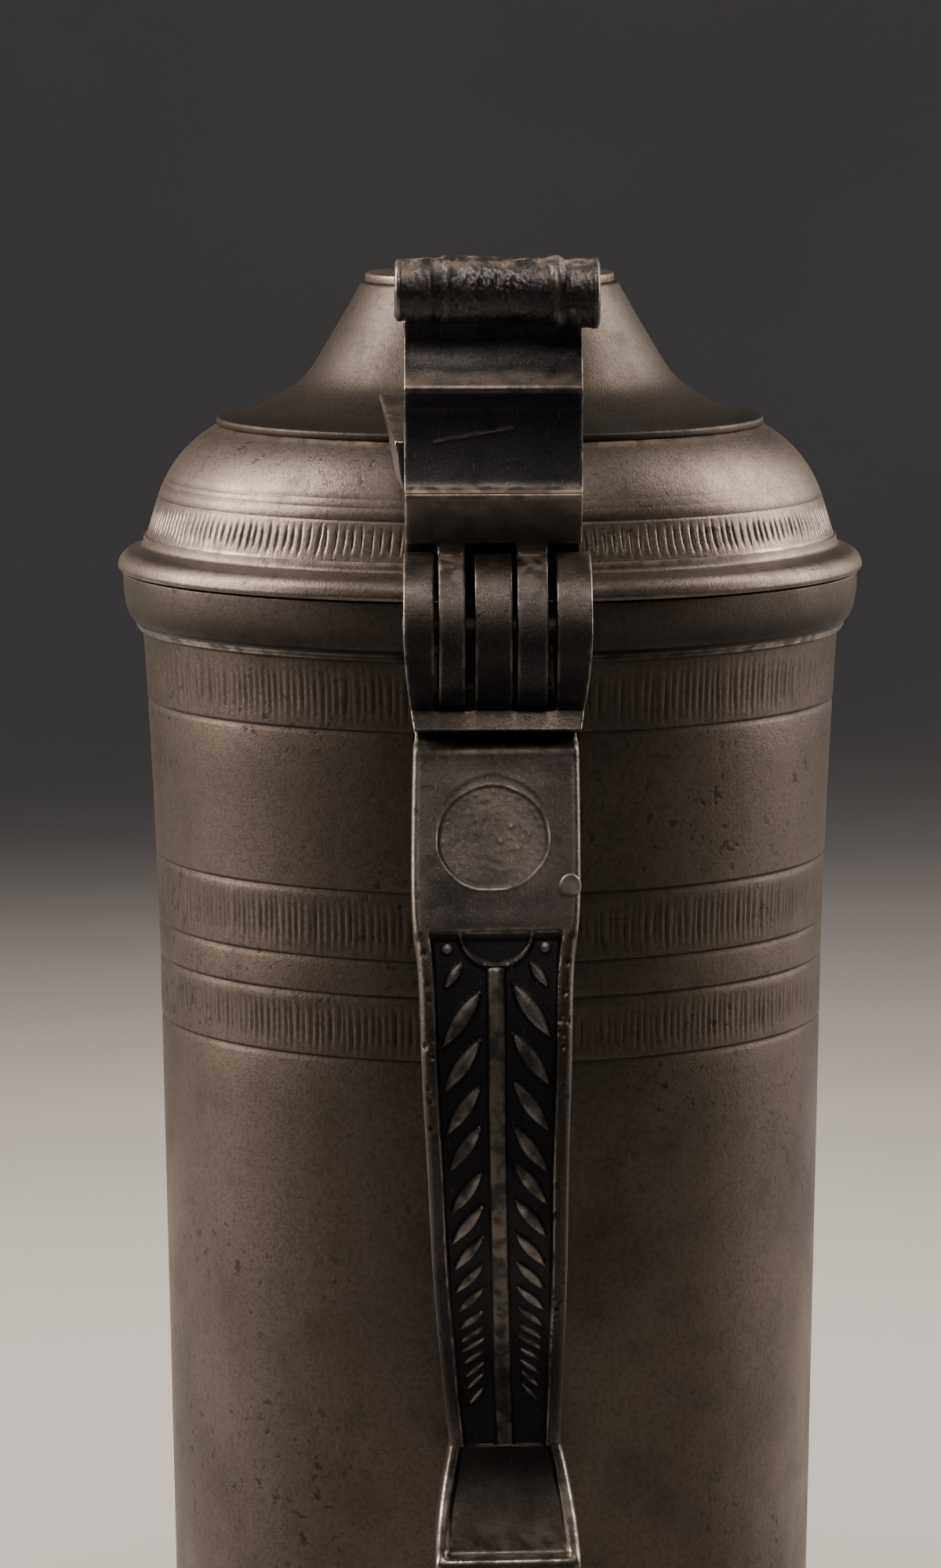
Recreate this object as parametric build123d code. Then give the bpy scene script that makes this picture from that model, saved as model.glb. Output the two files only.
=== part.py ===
from build123d import *
import os

# A spoutless pewter flagon with a hinged lid.
# Millimetres. Z is the drum's axis, the floor is z = 0 and the handle points along -Y.
# "Above the seat" means above the flat top of the mouth collar, where the lid rests.

# Drum and mouth collar
seat_height = 190.0  # floor to the seat
wall = 2.6  # cast wall of the drum
drum_foot_radius = 47.9  # outside, at the top of the foot ring
waist_radius = 49.85  # outside, where the flare begins
flare_height = 65.0  # length of the flare below the seat
mouth_radius = 52.8  # outside, at the mouth
collar_width = 2.3  # how far the collar stands out from the mouth
collar_height = 8.0
collar_band = 1.4  # upright stretch at the collar's top
collar_fillet = 0.4  # how far the collar's lower edge stands proud of the drum
groove_drops = (19.0, 42.4, 52.4, 57.7, 67.0)  # incised lines, below the seat
groove_width = 0.9
groove_depth = 0.35

# Foot ring and base
foot_spread = 7.1  # how far the foot stands out from the drum
foot_height = 15.0
foot_edge = 3.0  # upright edge on the floor
foot_fillet = 0.5
base_lift = 6.0  # floor to the underside of the base plate
base_ledge = 2.0  # width of the ledge that carries the base plate
base_thickness = 2.6

# Lid
lid_gap = 0.3  # running gap between the lid and its seat
rim_overhang = 0.8  # how far the lid's bead stands out past the collar
rim_height = 5.4  # above the seat
bead_height = 3.4
bead_top_inset = 1.2  # bead's widest point to its top
rim_shelf = 4.3  # bead to the foot of the shoulder
rim_ledge = 0.4  # flat left round the foot of the shoulder
lid_wall = 2.4
band_height = 10.9  # top of the hatched band, above the seat
band_batter = 1.7  # how far the band leans in
shoulder_height = 21.9
shoulder_inset = 11.0  # foot of the shoulder to its upper edge
step_overhang = 0.4
step_thickness = 1.1
neck_radius = 19.2
neck_height = 43.0
bell_curve = ((0.0, 0.0), (0.14, 0.02), (0.395, 0.133), (0.59, 0.277), (0.75, 0.528), (0.89, 0.785), (1.0, 1.0))
cap_radius = 18.6
cap_thickness = 1.5
bezel_clearance = 0.5  # between the bezel and the mouth
bezel_depth = 4.0
bezel_wall = 2.2

# Hinge
knuckle_radius = 11.0
knuckle_clearance = 0.6  # between the knuckles and the lid's bead
pin_drop = 2.4  # pin's axis below the seat
pin_radius = 2.0
pin_clearance = 0.05
pin_proud = 0.1  # its ends are filed almost flush
slot_clearance = 0.4  # round the knuckles
saddle_clearance = 1.4  # over the knuckles, under the saddle
knuckle_widths = (4.3, 3.8, 5.2, 4.3, 4.95)  # handle, lid, handle, lid, handle
knuckle_gaps = (0.55, 1.3, 0.65, 1.2)
hinge_foot_width = 23.2
hinge_top_width = 26.0
stem_drop = 14.1  # pin's axis down to the seam with the strap
stem_front = 2.7  # seam's front edge, out from the pin's axis
stem_back = 6.5  # stem's back, in from the pin's axis
hinge_ledge_out = 5.5  # front edge of the ledge under the knuckles, out from the pin's axis
hinge_ledge_lift = 0.7  # that edge above the seam
hinge_ledge_run = 1.9  # how far the ledge slopes out
hinge_ledge_height = 4.1  # its upper end above the seam
seam_run = 2.0  # how far the strap's curve runs on above the seam

# Thumbpiece, as heights above the seat and distances out from the pin's axis
thumb_width = 24.9
thumb_shift = -0.5  # its middle, along X from the hinge's
thumb_foot_height = 10.0
thumb_foot_out = 1.8
ledge_height = 17.3
ledge_out = 5.8
ledge_edge = 0.7
panel_out = 2.6
panel_run_out = 4.1  # foot of the panel's hollow
upper_ledge_height = 32.0
upper_ledge_out = 4.8
upper_ledge_drop = 3.2
cove_out = 1.4
cove_height = 37.4
plate_thickness = 4.6
roll_radius = 5.05
roll_length = 28.4
roll_height = 45.4
roll_out = 3.9
roll_rib_height = 0.35
roll_rib_width = 1.6
roll_ribs = (-11.2, -7.6, 7.6, 11.2)
saddle_width = 24.7
saddle_lift = 3.3
buttress_near_height = 24.1  # top, at the plate
buttress_far_height = 28.0  # top, at the lid's bell
buttress_near_left = 14.3  # top's left edge, to -X
buttress_far_left = 16.7
buttress_batter = 0.16  # how far the left side leans in for each millimetre down
buttress_right = 11.4

# Handle: (share of its height below the seat, share of its reach or of its half width)
handle_end_height = 38.0  # floor to the bottom of the terminal
handle_lean = 0.8  # degrees, the strap's lower end to +X
handle_reach = 37.5  # strap's outer face to the drum, at its farthest
strap_thickness = 5.6
strap_half_width = 11.75
strap_steps = 24  # points on a layer's curve
strap_curve = (
    (0.194, 0.688),
    (0.276, 0.869),
    (0.342, 0.960),
    (0.395, 1.000),
    (0.467, 0.992),
    (0.546, 0.920),
    (0.618, 0.765),
    (0.678, 0.541),
    (0.724, 0.307),
    (0.770, 0.181),
    (0.803, 0.160),
)
terminal_curve = ((0.832, 0.187), (0.859, 0.261), (0.882, 0.371), (0.895, 0.464))
terminal_under = ((0.932, 0.437), (0.970, 0.320))
strap_widths = (
    (0.197, 1.000),
    (0.263, 0.987),
    (0.303, 0.928),
    (0.395, 0.885),
    (0.500, 0.834),
    (0.590, 0.808),
    (0.671, 0.774),
    (0.770, 0.715),
    (0.803, 0.681),
)
terminal_widths = ((0.845, 0.800), (0.895, 0.885), (0.945, 0.766), (1.0, 0.340))
panel_top = 0.28  # share of the handle's height where the leaf panel begins
panel_bottom = 0.785
panel_depth = 0.8
panel_border = 2.2
midrib_width = 2.0
lunette_radius = 5.0
upper_lug_width = 16.0
upper_lug_height = 13.5
upper_lug_drop = 3.5  # below the collar
upper_lug_hollow = 3.0  # how far the curve under the lug is hollowed
lower_lug_width = 11.0
lower_lug_shares = (0.735, 0.80)
drop_radius = 1.5  # solder drop
drop_share = 0.242
drop_side = 10.4
drop_seat = 0.1  # the line of solder under the drop

# Worked out from the sizes above
collar_radius = mouth_radius + collar_width
rim_radius = collar_radius + rim_overhang
pin_out = rim_radius + knuckle_radius + knuckle_clearance
pin_height = seat_height - pin_drop
slot_radius = knuckle_radius + slot_clearance
bore_radius = pin_radius + pin_clearance
hinge_width = sum(knuckle_widths) + sum(knuckle_gaps)
handle_height = seat_height - handle_end_height
shoulder_foot_radius = rim_radius - rim_shelf
shoulder_top_radius = shoulder_foot_radius - shoulder_inset
bezel_radius = mouth_radius - wall - bezel_clearance
bezel_bore = bezel_radius - bezel_wall
waist_height = seat_height - flare_height
far = 3 * seat_height  # larger than the object, for cutting
quarter_turn = 90


def drum_radius(height):
    """Outside radius of the drum: a straight taper, then a flare that opens to the mouth."""
    taper = (waist_radius - drum_foot_radius) / (waist_height - foot_height)
    flare = (mouth_radius - waist_radius - taper * flare_height) / flare_height**2
    rise = height - waist_height
    return waist_radius + taper * rise + flare * max(rise, 0.0) ** 2


def turned(*edges):
    """A body turned about Z from the edges of its section, given as (radius, height)."""
    return revolve(Plane.XZ * make_face(edges), Axis.Z)


def turned_polygon(*points):
    return turned(Polyline(*points, close=True))


def side_solid(face, width):
    """A side profile, given as (y, z), with its width along X."""
    return extrude(Plane.YZ * face, amount=width / 2, both=True)


def front_solid(face):
    """A front outline, given as (x, z), carried back along -Y."""
    return extrude(Plane.XZ * face, amount=far)


def bar(radius, x_from, x_to, out=pin_out, height=pin_height):
    """A round bar along X, by default on the hinge pin's axis."""
    start = Plane(origin=(x_from, -out, height), x_dir=(0, 1, 0), z_dir=(1, 0, 0))
    return extrude(start * Circle(radius), amount=x_to - x_from)


def from_pin(out, above_seat):
    """A side-profile point, from its distance out from the pin's axis and its height above the seat."""
    return (-(pin_out + out), seat_height + above_seat)


def handle_z(share):
    return seat_height - share * handle_height


def handle_point(share, reach_share):
    """A side-profile point of the handle."""
    height = handle_z(share)
    return (-(drum_radius(height) + reach_share * handle_reach), height)


# Vessel


def drum_section(inset):
    """The drum's outline from the base to the mouth, moved in by inset."""
    low = (drum_foot_radius - inset, base_lift)
    taper_start = (drum_foot_radius - inset, foot_height)
    collar_foot = seat_height - collar_height
    flare_middle = (waist_height + collar_foot) / 2
    flare = [(drum_radius(height) - inset, height) for height in (waist_height, flare_middle)]
    flare.append((mouth_radius - inset, collar_foot))
    mouth = (mouth_radius - inset, seat_height)
    slope = (waist_radius - drum_foot_radius, waist_height - foot_height)
    mouth_slope = (mouth_radius - waist_radius, flare_height / 2)
    return [
        Line(low, taper_start),
        Line(taper_start, flare[0]),
        Spline(*flare, tangents=[slope, mouth_slope]),
        Line(flare[-1], mouth),
    ]


def make_drum():
    outer = drum_section(0.0)
    inner = drum_section(wall)
    ends = [Line(outer[0] @ 0, inner[0] @ 0), Line(outer[-1] @ 1, inner[-1] @ 1)]
    body = turned(*outer, *inner, *ends)
    for drop in groove_drops:
        height = seat_height - drop
        surface = drum_radius(height)
        body -= turned_polygon(
            (surface + groove_depth, height - groove_width),
            (surface - groove_depth, height),
            (surface + groove_depth, height + groove_width),
        )
    return body


def make_mouth_collar():
    low = seat_height - collar_height
    lip = collar_radius - collar_fillet
    fillet_radius = mouth_radius + collar_fillet
    fillet_top = low + collar_fillet * 2
    band = seat_height - collar_band
    return turned(
        Line((mouth_radius, low), (mouth_radius, seat_height)),
        Line((mouth_radius, seat_height), (lip, seat_height)),
        Line((lip, seat_height), (collar_radius, seat_height - collar_fillet)),
        Line((collar_radius, seat_height - collar_fillet), (collar_radius, band)),
        EllipticalCenterArc(
            (fillet_radius, band),
            collar_radius - fillet_radius,
            band - fillet_top,
            start_angle=270,
            arc_size=quarter_turn,
        ),
        Line((fillet_radius, fillet_top), (fillet_radius, low)),
        Line((fillet_radius, low), (mouth_radius, low)),
    )


def make_foot_ring():
    foot_radius = drum_foot_radius + foot_spread
    collar = drum_foot_radius + foot_fillet
    ledge = drum_foot_radius - wall - base_ledge
    outer = [
        Line((ledge, 0), (foot_radius, 0)),
        Line((foot_radius, 0), (foot_radius, foot_edge)),
        EllipticalCenterArc(
            (foot_radius, foot_height - foot_fillet),
            foot_radius - collar,
            foot_height - foot_fillet - foot_edge,
            start_angle=180,
            arc_size=quarter_turn,
        ),
        Line((collar, foot_height - foot_fillet), (collar, foot_height)),
    ]
    inner = Polyline(
        (collar, foot_height),
        (drum_foot_radius, foot_height),
        (drum_foot_radius, base_lift),
        (ledge, base_lift),
        (ledge, 0),
    )
    return turned(*outer, inner)


def make_base_plate():
    disc = Cylinder(drum_foot_radius - wall, base_thickness, align=(Align.CENTER, Align.CENTER, Align.MIN))
    return Pos(0, 0, base_lift) * disc


def filled_drum():
    """The drum without its hollow or grooves, for fitting the lugs to it."""
    outer = drum_section(0.0)
    top = outer[-1] @ 1
    bottom = outer[0] @ 0
    return turned(*outer, Line(top, (0, top.Y)), Line((0, top.Y), (0, bottom.Y)), Line((0, bottom.Y), bottom))


# Lid


def make_lid_rim():
    low = seat_height + lid_gap
    top = seat_height + rim_height
    bead_top = (rim_radius - bead_top_inset, seat_height + bead_height)
    foot = (shoulder_foot_radius + rim_ledge, top)
    return turned(
        Line((bezel_bore, low), (collar_radius, low)),
        ThreePointArc((collar_radius, low), (rim_radius, (low + bead_top[1]) / 2), bead_top),
        Line(bead_top, foot),
        Line(foot, (bezel_bore, top)),
        Line((bezel_bore, top), (bezel_bore, low)),
    )


def make_lid_bezel():
    low = seat_height - bezel_depth
    top = seat_height + lid_gap
    return turned_polygon((bezel_bore, low), (bezel_radius, low), (bezel_radius, top), (bezel_bore, top))


def shoulder_edges(inset):
    """The shoulder's outline: the leaning band, then a round that runs on from it."""
    foot = (shoulder_foot_radius - inset, seat_height + rim_height)
    band = (shoulder_foot_radius - band_batter - inset, seat_height + band_height)
    top = (shoulder_top_radius - inset, seat_height + shoulder_height)
    lean = (band[0] - foot[0], band[1] - foot[1])
    return [Line(foot, band), TangentArc(band, top, tangent=lean)]


def make_lid_shoulder():
    outer = shoulder_edges(0.0)
    inner = shoulder_edges(lid_wall)
    ends = [Line(outer[0] @ 0, inner[0] @ 0), Line(outer[1] @ 1, inner[1] @ 1)]
    return turned(*outer, *inner, *ends)


def bell_spline(inset):
    """The bell's outline from its step to its neck, moved in and down by inset."""
    step_radius = shoulder_top_radius + step_overhang
    low = seat_height + shoulder_height + step_thickness
    rise = seat_height + neck_height - low
    points = [
        (step_radius - inset - share * (step_radius - neck_radius), low - inset + level * rise)
        for share, level in bell_curve
    ]
    return Spline(*points)


def make_lid_bell():
    outer = bell_spline(0.0)
    inner = bell_spline(lid_wall)
    step_top = outer @ 0
    neck = outer @ 1
    seat = seat_height + shoulder_height
    inner_top = inner @ 1
    inner_low = inner @ 0
    edges = [
        outer,
        Line(neck, (inner_top.X, neck.Y)),
        Line((inner_top.X, neck.Y), inner_top),
        inner,
        Line(inner_low, (step_top.X, inner_low.Y)),
        Line((step_top.X, inner_low.Y), step_top),
    ]
    above_seat = Pos(0, 0, seat) * Cylinder(far, far, align=(Align.CENTER, Align.CENTER, Align.MIN))
    return turned(*edges) & above_seat


def make_lid_cap_disc():
    disc = Cylinder(cap_radius, cap_thickness, align=(Align.CENTER, Align.CENTER, Align.MIN))
    disc = fillet(disc.edges(), cap_thickness / 4)
    return Pos(0, 0, seat_height + neck_height) * disc


def filled_lid():
    """The lid's turned shape without its hollow, for fitting the saddle and the buttress to it."""
    rim = make_lid_rim()
    low = seat_height + lid_gap
    top = seat_height + rim_height
    core = turned_polygon((0, low), (bezel_radius, low), (bezel_radius, top), (0, top))
    shoulder = shoulder_edges(0.0)
    foot = shoulder[0] @ 0
    shoulder_top = shoulder[1] @ 1
    shoulder_body = turned(
        *shoulder,
        Line(shoulder_top, (0, shoulder_top.Y)),
        Line((0, shoulder_top.Y), (0, foot.Y)),
        Line((0, foot.Y), foot),
    )
    bell = bell_spline(0.0)
    step = bell @ 0
    neck = bell @ 1
    bell_body = turned(
        bell,
        Line(neck, (0, neck.Y)),
        Line((0, neck.Y), (0, shoulder_top.Y)),
        Line((0, shoulder_top.Y), (step.X, shoulder_top.Y)),
        Line((step.X, shoulder_top.Y), step),
    )
    return rim + core + shoulder_body + bell_body


# Hinge


def knuckle_spans():
    """The five knuckles' ends along X, from -X to +X."""
    spans = []
    left = -hinge_width / 2
    for index, width in enumerate(knuckle_widths):
        spans.append((left, left + width))
        if index < len(knuckle_gaps):
            left += width + knuckle_gaps[index]
    return spans


def hinge_outline():
    """The hinge's front outline: bowed sides, widest at the pin."""
    foot = (hinge_foot_width / 2, pin_height - stem_drop)
    middle = (hinge_width / 2, pin_height)
    top = (hinge_top_width / 2, pin_height + knuckle_radius)
    right = ThreePointArc(foot, middle, top)
    left = mirror(right, about=Plane.YZ)
    return make_face([right, left, Line(right @ 0, left @ 0), Line(right @ 1, left @ 1)])


def make_handle_hinge_block():
    seam = pin_height - stem_drop
    stem = Polyline(
        (-(pin_out + stem_front), seam),
        (-(pin_out + hinge_ledge_out), seam + hinge_ledge_lift),
        (-(pin_out + hinge_ledge_out - hinge_ledge_run), seam + hinge_ledge_height),
        (-pin_out, pin_height),
        (-(pin_out - stem_back), pin_height),
        (-(pin_out - stem_back), seam),
        close=True,
    )
    block = side_solid(make_face(stem), hinge_width) + bar(knuckle_radius, -hinge_width / 2, hinge_width / 2)
    block &= front_solid(hinge_outline())
    spans = knuckle_spans()
    for index in (1, 3):
        block -= bar(slot_radius, spans[index - 1][1], spans[index + 1][0])
    return block - bar(bore_radius, -far, far)


def make_hinge_pin():
    half = hinge_width / 2 + pin_proud
    pin = bar(pin_radius, -half, half)
    return fillet(pin.edges().filter_by(GeomType.CIRCLE), pin_proud)


def make_lid_hinge_block(lid):
    saddle_points = [
        from_pin(thumb_foot_out, thumb_foot_height),
        from_pin(ledge_out, ledge_height - ledge_edge),
        from_pin(ledge_out, ledge_height),
        (-shoulder_top_radius, seat_height + ledge_height),
        (-shoulder_top_radius, seat_height + saddle_lift),
        (-pin_out, seat_height + saddle_lift),
    ]
    saddle = Pos(thumb_shift, 0, 0) * side_solid(make_face(Polyline(*saddle_points, close=True)), saddle_width)
    saddle -= bar(knuckle_radius + saddle_clearance, -far, far)
    leaf_neck = Polyline(
        from_pin(-stem_back, 0.0),
        from_pin(-stem_back, ledge_height),
        from_pin(thumb_foot_out, ledge_height),
        from_pin(thumb_foot_out, 0.0),
        close=True,
    )
    spans = knuckle_spans()
    leaves = Part()
    for index in (1, 3):
        left, right = spans[index]
        middle = (left + right) / 2
        neck = Pos(middle, 0, 0) * side_solid(make_face(leaf_neck), right - left)
        leaves += bar(knuckle_radius, left, right) + neck
    return saddle + leaves - lid - bar(bore_radius, -far, far)


# Thumbpiece


def make_thumb_roll():
    half = roll_length / 2
    core = roll_radius - roll_rib_height
    roll = bar(core, -half, half, pin_out + roll_out, seat_height + roll_height)
    for place in roll_ribs:
        rib = bar(
            roll_radius,
            place - roll_rib_width / 2,
            place + roll_rib_width / 2,
            pin_out + roll_out,
            seat_height + roll_height,
        )
        roll += rib
    ends = roll.edges().filter_by(GeomType.CIRCLE).sort_by(Axis.X)
    return fillet([ends[0], ends[-1]], roll_rib_height)


def make_thumbpiece_plate():
    panel_top_height = upper_ledge_height - upper_ledge_drop
    front = [
        Line(from_pin(ledge_out, ledge_height), from_pin(panel_run_out, ledge_height + ledge_edge)),
        Spline(
            from_pin(panel_run_out, ledge_height + ledge_edge),
            from_pin(panel_out, (ledge_height + panel_top_height) / 2),
            from_pin(panel_out, panel_top_height),
        ),
        Line(from_pin(panel_out, panel_top_height), from_pin(upper_ledge_out, upper_ledge_height - ledge_edge)),
        Line(
            from_pin(upper_ledge_out, upper_ledge_height - ledge_edge),
            from_pin(upper_ledge_out, upper_ledge_height),
        ),
        ThreePointArc(
            from_pin(upper_ledge_out, upper_ledge_height),
            from_pin(cove_out, cove_height),
            from_pin(roll_out, roll_height),
        ),
    ]
    back = Polyline(
        from_pin(roll_out, roll_height),
        from_pin(roll_out - roll_radius, roll_height),
        from_pin(panel_out - plate_thickness, upper_ledge_height),
        from_pin(panel_out - plate_thickness, ledge_height),
        from_pin(ledge_out, ledge_height),
    )
    plate = Pos(thumb_shift, 0, 0) * side_solid(make_face([*front, back]), thumb_width)
    return plate - bar(roll_radius, -far, far, pin_out + roll_out, seat_height + roll_height)


def buttress_section(left, height, out):
    """The buttress's section at a distance out from the drum's axis, from its top's left edge and height."""
    low = seat_height + ledge_height
    top = seat_height + height
    foot = left - (height - ledge_height) * buttress_batter
    corners = Polyline((-foot, low), (-left, top), (buttress_right, top), (buttress_right, low), close=True)
    return Plane.XZ.offset(out) * make_face(corners)


def make_thumbpiece_buttress(lid, plate):
    near = buttress_section(buttress_near_left, buttress_near_height, pin_out + panel_out - plate_thickness)
    inside_bell = buttress_section(buttress_far_left, buttress_far_height, neck_radius + lid_wall)
    return loft([near, inside_bell], ruled=True) - lid - plate


# Handle


def leaned(shape):
    """Leans a piece of the handle sideways about its seam with the hinge block."""
    seam = Axis((0, 0, pin_height - stem_drop), (0, 1, 0))
    return shape.rotate(seam, -handle_lean)


def below_seam(shape):
    """Keeps what lies below the seam with the hinge block."""
    block = Pos(0, 0, pin_height - stem_drop) * Box(far, far, far, align=(Align.CENTER, Align.CENTER, Align.MAX))
    return shape & block


def strap_edge(depth):
    """The strap's side curve, moved in from its outer face by depth, and run on past both its ends."""
    seam = (-(pin_out + stem_front), pin_height - stem_drop)
    above = (-(pin_out + stem_front - seam_run / 2), pin_height - stem_drop + seam_run)
    below = terminal_curve[0]
    outer = Spline(above, seam, *[handle_point(*point) for point in (*strap_curve, below)])
    points = []
    for step in range(strap_steps + 1):
        place = outer.position_at(step / strap_steps)
        along = outer.tangent_at(step / strap_steps)
        points.append((place.X - along.Y * depth, place.Y + along.X * depth))
    return Spline(*points)


def strap_layer(depth_from, depth_to):
    """A layer of the strap between two depths below its outer face."""
    near = strap_edge(depth_from)
    back = strap_edge(depth_to)
    face = make_face([near, back, Line(near @ 0, back @ 0), Line(near @ 1, back @ 1)])
    return side_solid(face, far)


def mirrored_face(points):
    """A front outline that is the same on both sides, from a curve down its right side."""
    right = Spline(*points)
    left = mirror(right, about=Plane.YZ)
    return make_face([right, left, Line(right @ 0, left @ 0), Line(right @ 1, left @ 1)])


def strap_outline(margin, top, bottom):
    """The strap's front outline between two heights, moved in from its sides by margin."""
    points = [(hinge_foot_width / 2 - margin, pin_height - stem_drop + seam_run)]
    points += [(width * strap_half_width - margin, handle_z(share)) for share, width in strap_widths]
    window = Pos(0, (top + bottom) / 2) * Rectangle(far, top - bottom)
    return mirrored_face(points) & window


def make_handle_strap():
    strap_end = handle_z(strap_curve[-1][0])
    strap = strap_layer(0.0, strap_thickness) & front_solid(strap_outline(0.0, pin_height, strap_end))
    recess_top = handle_z(panel_top)
    recess = strap_outline(panel_border, recess_top, handle_z(panel_bottom))
    recess -= Pos(0, recess_top) * Circle(lunette_radius)
    recess -= Pos(0, recess_top) * Rectangle(midrib_width, far)
    strap -= strap_layer(-panel_depth, panel_depth) & front_solid(recess)
    return below_seam(leaned(strap))


def make_handle_terminal(strap, drum):
    start = handle_point(*strap_curve[-1])
    upper = Spline(start, *[handle_point(*point) for point in terminal_curve], tangents=[(0, -1), (-1, -0.4)])
    nose = upper @ 1
    under = Spline(nose, *[handle_point(*point) for point in terminal_under], handle_point(1.0, 0.0))
    back = Polyline(handle_point(1.0, 0.0), handle_point(1.0, -wall), (handle_point(1.0, -wall)[0], start[1]), start)
    profile = side_solid(make_face([upper, under, back]), far)
    widths = (strap_widths[-1], *terminal_widths)
    outline = mirrored_face([(width * strap_half_width, handle_z(share)) for share, width in widths])
    return leaned(profile & front_solid(outline)) - drum - strap


def make_upper_handle_lug(drum, hinge_block):
    top = seat_height - collar_height - upper_lug_drop
    low = top - upper_lug_height
    back = pin_out - stem_back
    seam = pin_height - stem_drop
    side = [
        Line((-(mouth_radius - wall), low), (-(mouth_radius - wall), top)),
        Line((-(mouth_radius - wall), top), (-pin_out, top)),
        Line((-pin_out, top), (-pin_out, seam)),
        Line((-pin_out, seam), (-back, seam)),
        SagittaArc((-back, seam), (-(mouth_radius - wall), low), upper_lug_hollow),
    ]
    lug = side_solid(make_face(side), upper_lug_width)
    return lug - drum - hinge_block - bar(slot_radius, -far, far)


def make_lower_handle_lug(drum, strap):
    high, low = [handle_z(share) for share in lower_lug_shares]
    reach = strap_curve[-1][1] * handle_reach - strap_thickness / 2
    inner = drum_radius(low) - wall
    outer = drum_radius(low) + reach
    block = Pos(0, -(inner + outer) / 2, (high + low) / 2) * Box(lower_lug_width, outer - inner, high - low)
    return leaned(block) - drum - strap


def make_solder_drop():
    """Half a ball on the strap's outer face, a little past its edge."""
    height = handle_z(drop_share)
    layer = strap_layer(-drop_seat, strap_thickness)
    slice_of_layer = layer & Pos(0, 0, height) * Box(far, far, groove_depth)
    face_y = slice_of_layer.bounding_box().min.Y
    drop = Pos(drop_side, face_y, height) * Sphere(drop_radius)
    return leaned(drop - layer)


def make_pieces():
    """Every piece by its node's name, each fitted to the pieces that carry it."""
    drum = filled_drum()
    lid = filled_lid()
    plate = make_thumbpiece_plate()
    strap = make_handle_strap()
    hinge_block = make_handle_hinge_block()
    return {
        "drum": make_drum(),
        "mouth_collar": make_mouth_collar(),
        "foot_ring": make_foot_ring(),
        "base_plate": make_base_plate(),
        "handle_strap": strap,
        "handle_terminal": make_handle_terminal(strap, drum),
        "handle_hinge_block": hinge_block,
        "upper_handle_lug": make_upper_handle_lug(drum, hinge_block),
        "lower_handle_lug": make_lower_handle_lug(drum, strap),
        "hinge_pin": make_hinge_pin(),
        "solder_drop": make_solder_drop(),
        "lid_rim": make_lid_rim(),
        "lid_bezel": make_lid_bezel(),
        "lid_shoulder": make_lid_shoulder(),
        "lid_bell": make_lid_bell(),
        "lid_cap_disc": make_lid_cap_disc(),
        "lid_hinge_block": make_lid_hinge_block(lid),
        "thumbpiece_plate": plate,
        "thumb_roll": make_thumb_roll(),
        "thumbpiece_buttress": make_thumbpiece_buttress(lid, plate),
    }


os.makedirs("parts", exist_ok=True)
for name, shape in make_pieces().items():
    export_step(shape, f"parts/{name}.step")
    print(name, len(shape.solids()), round(shape.volume, 1))
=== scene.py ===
# %% [markdown]
# # A pewter flagon with a hinged lid
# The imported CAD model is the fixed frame: it says where every piece is and how big it is. This lesson
# dresses that frame. Each piece of the real flagon was cast or turned on its own and then soldered to
# its neighbours, so each piece here is an object of its own, modelled at its true size in metres.

# %% Load the frame
import math

import bpy
import numpy as np
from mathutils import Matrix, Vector, noise


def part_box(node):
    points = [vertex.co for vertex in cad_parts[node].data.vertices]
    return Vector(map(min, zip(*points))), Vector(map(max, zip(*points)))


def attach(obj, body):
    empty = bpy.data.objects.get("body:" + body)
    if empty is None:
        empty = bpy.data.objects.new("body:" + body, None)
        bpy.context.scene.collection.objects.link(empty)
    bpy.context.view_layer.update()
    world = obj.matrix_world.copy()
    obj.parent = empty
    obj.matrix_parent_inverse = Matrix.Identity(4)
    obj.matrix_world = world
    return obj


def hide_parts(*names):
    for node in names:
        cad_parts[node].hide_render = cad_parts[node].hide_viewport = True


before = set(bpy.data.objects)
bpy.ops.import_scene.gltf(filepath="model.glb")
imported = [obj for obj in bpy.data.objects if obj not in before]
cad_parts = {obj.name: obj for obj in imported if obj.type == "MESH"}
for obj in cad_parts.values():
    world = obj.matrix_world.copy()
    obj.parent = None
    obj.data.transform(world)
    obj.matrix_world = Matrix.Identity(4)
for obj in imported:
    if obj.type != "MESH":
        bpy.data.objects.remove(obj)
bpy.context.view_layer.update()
mm = 0.001

# %% [markdown]
# ## The stage
# A photographer would stand the flagon on a pale sweep. A flat plane would show a hard horizon, so the
# floor is turned up at its rim into a wide bowl, and every camera direction sees the same plain ground.
# Spinning half a section is the natural way to make anything round, and the flagon needs it too, so the
# helper that does it comes first: one vertex, extruded along an outline, then spun about the axis. The
# bowl can be seen through from outside, so a camera beyond it or below the floor still sees the flagon.


# %% Spin helper
def deselect():
    if bpy.context.mode != "OBJECT":
        bpy.ops.object.mode_set(mode="OBJECT")
    bpy.ops.object.select_all(action="DESELECT")


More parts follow.
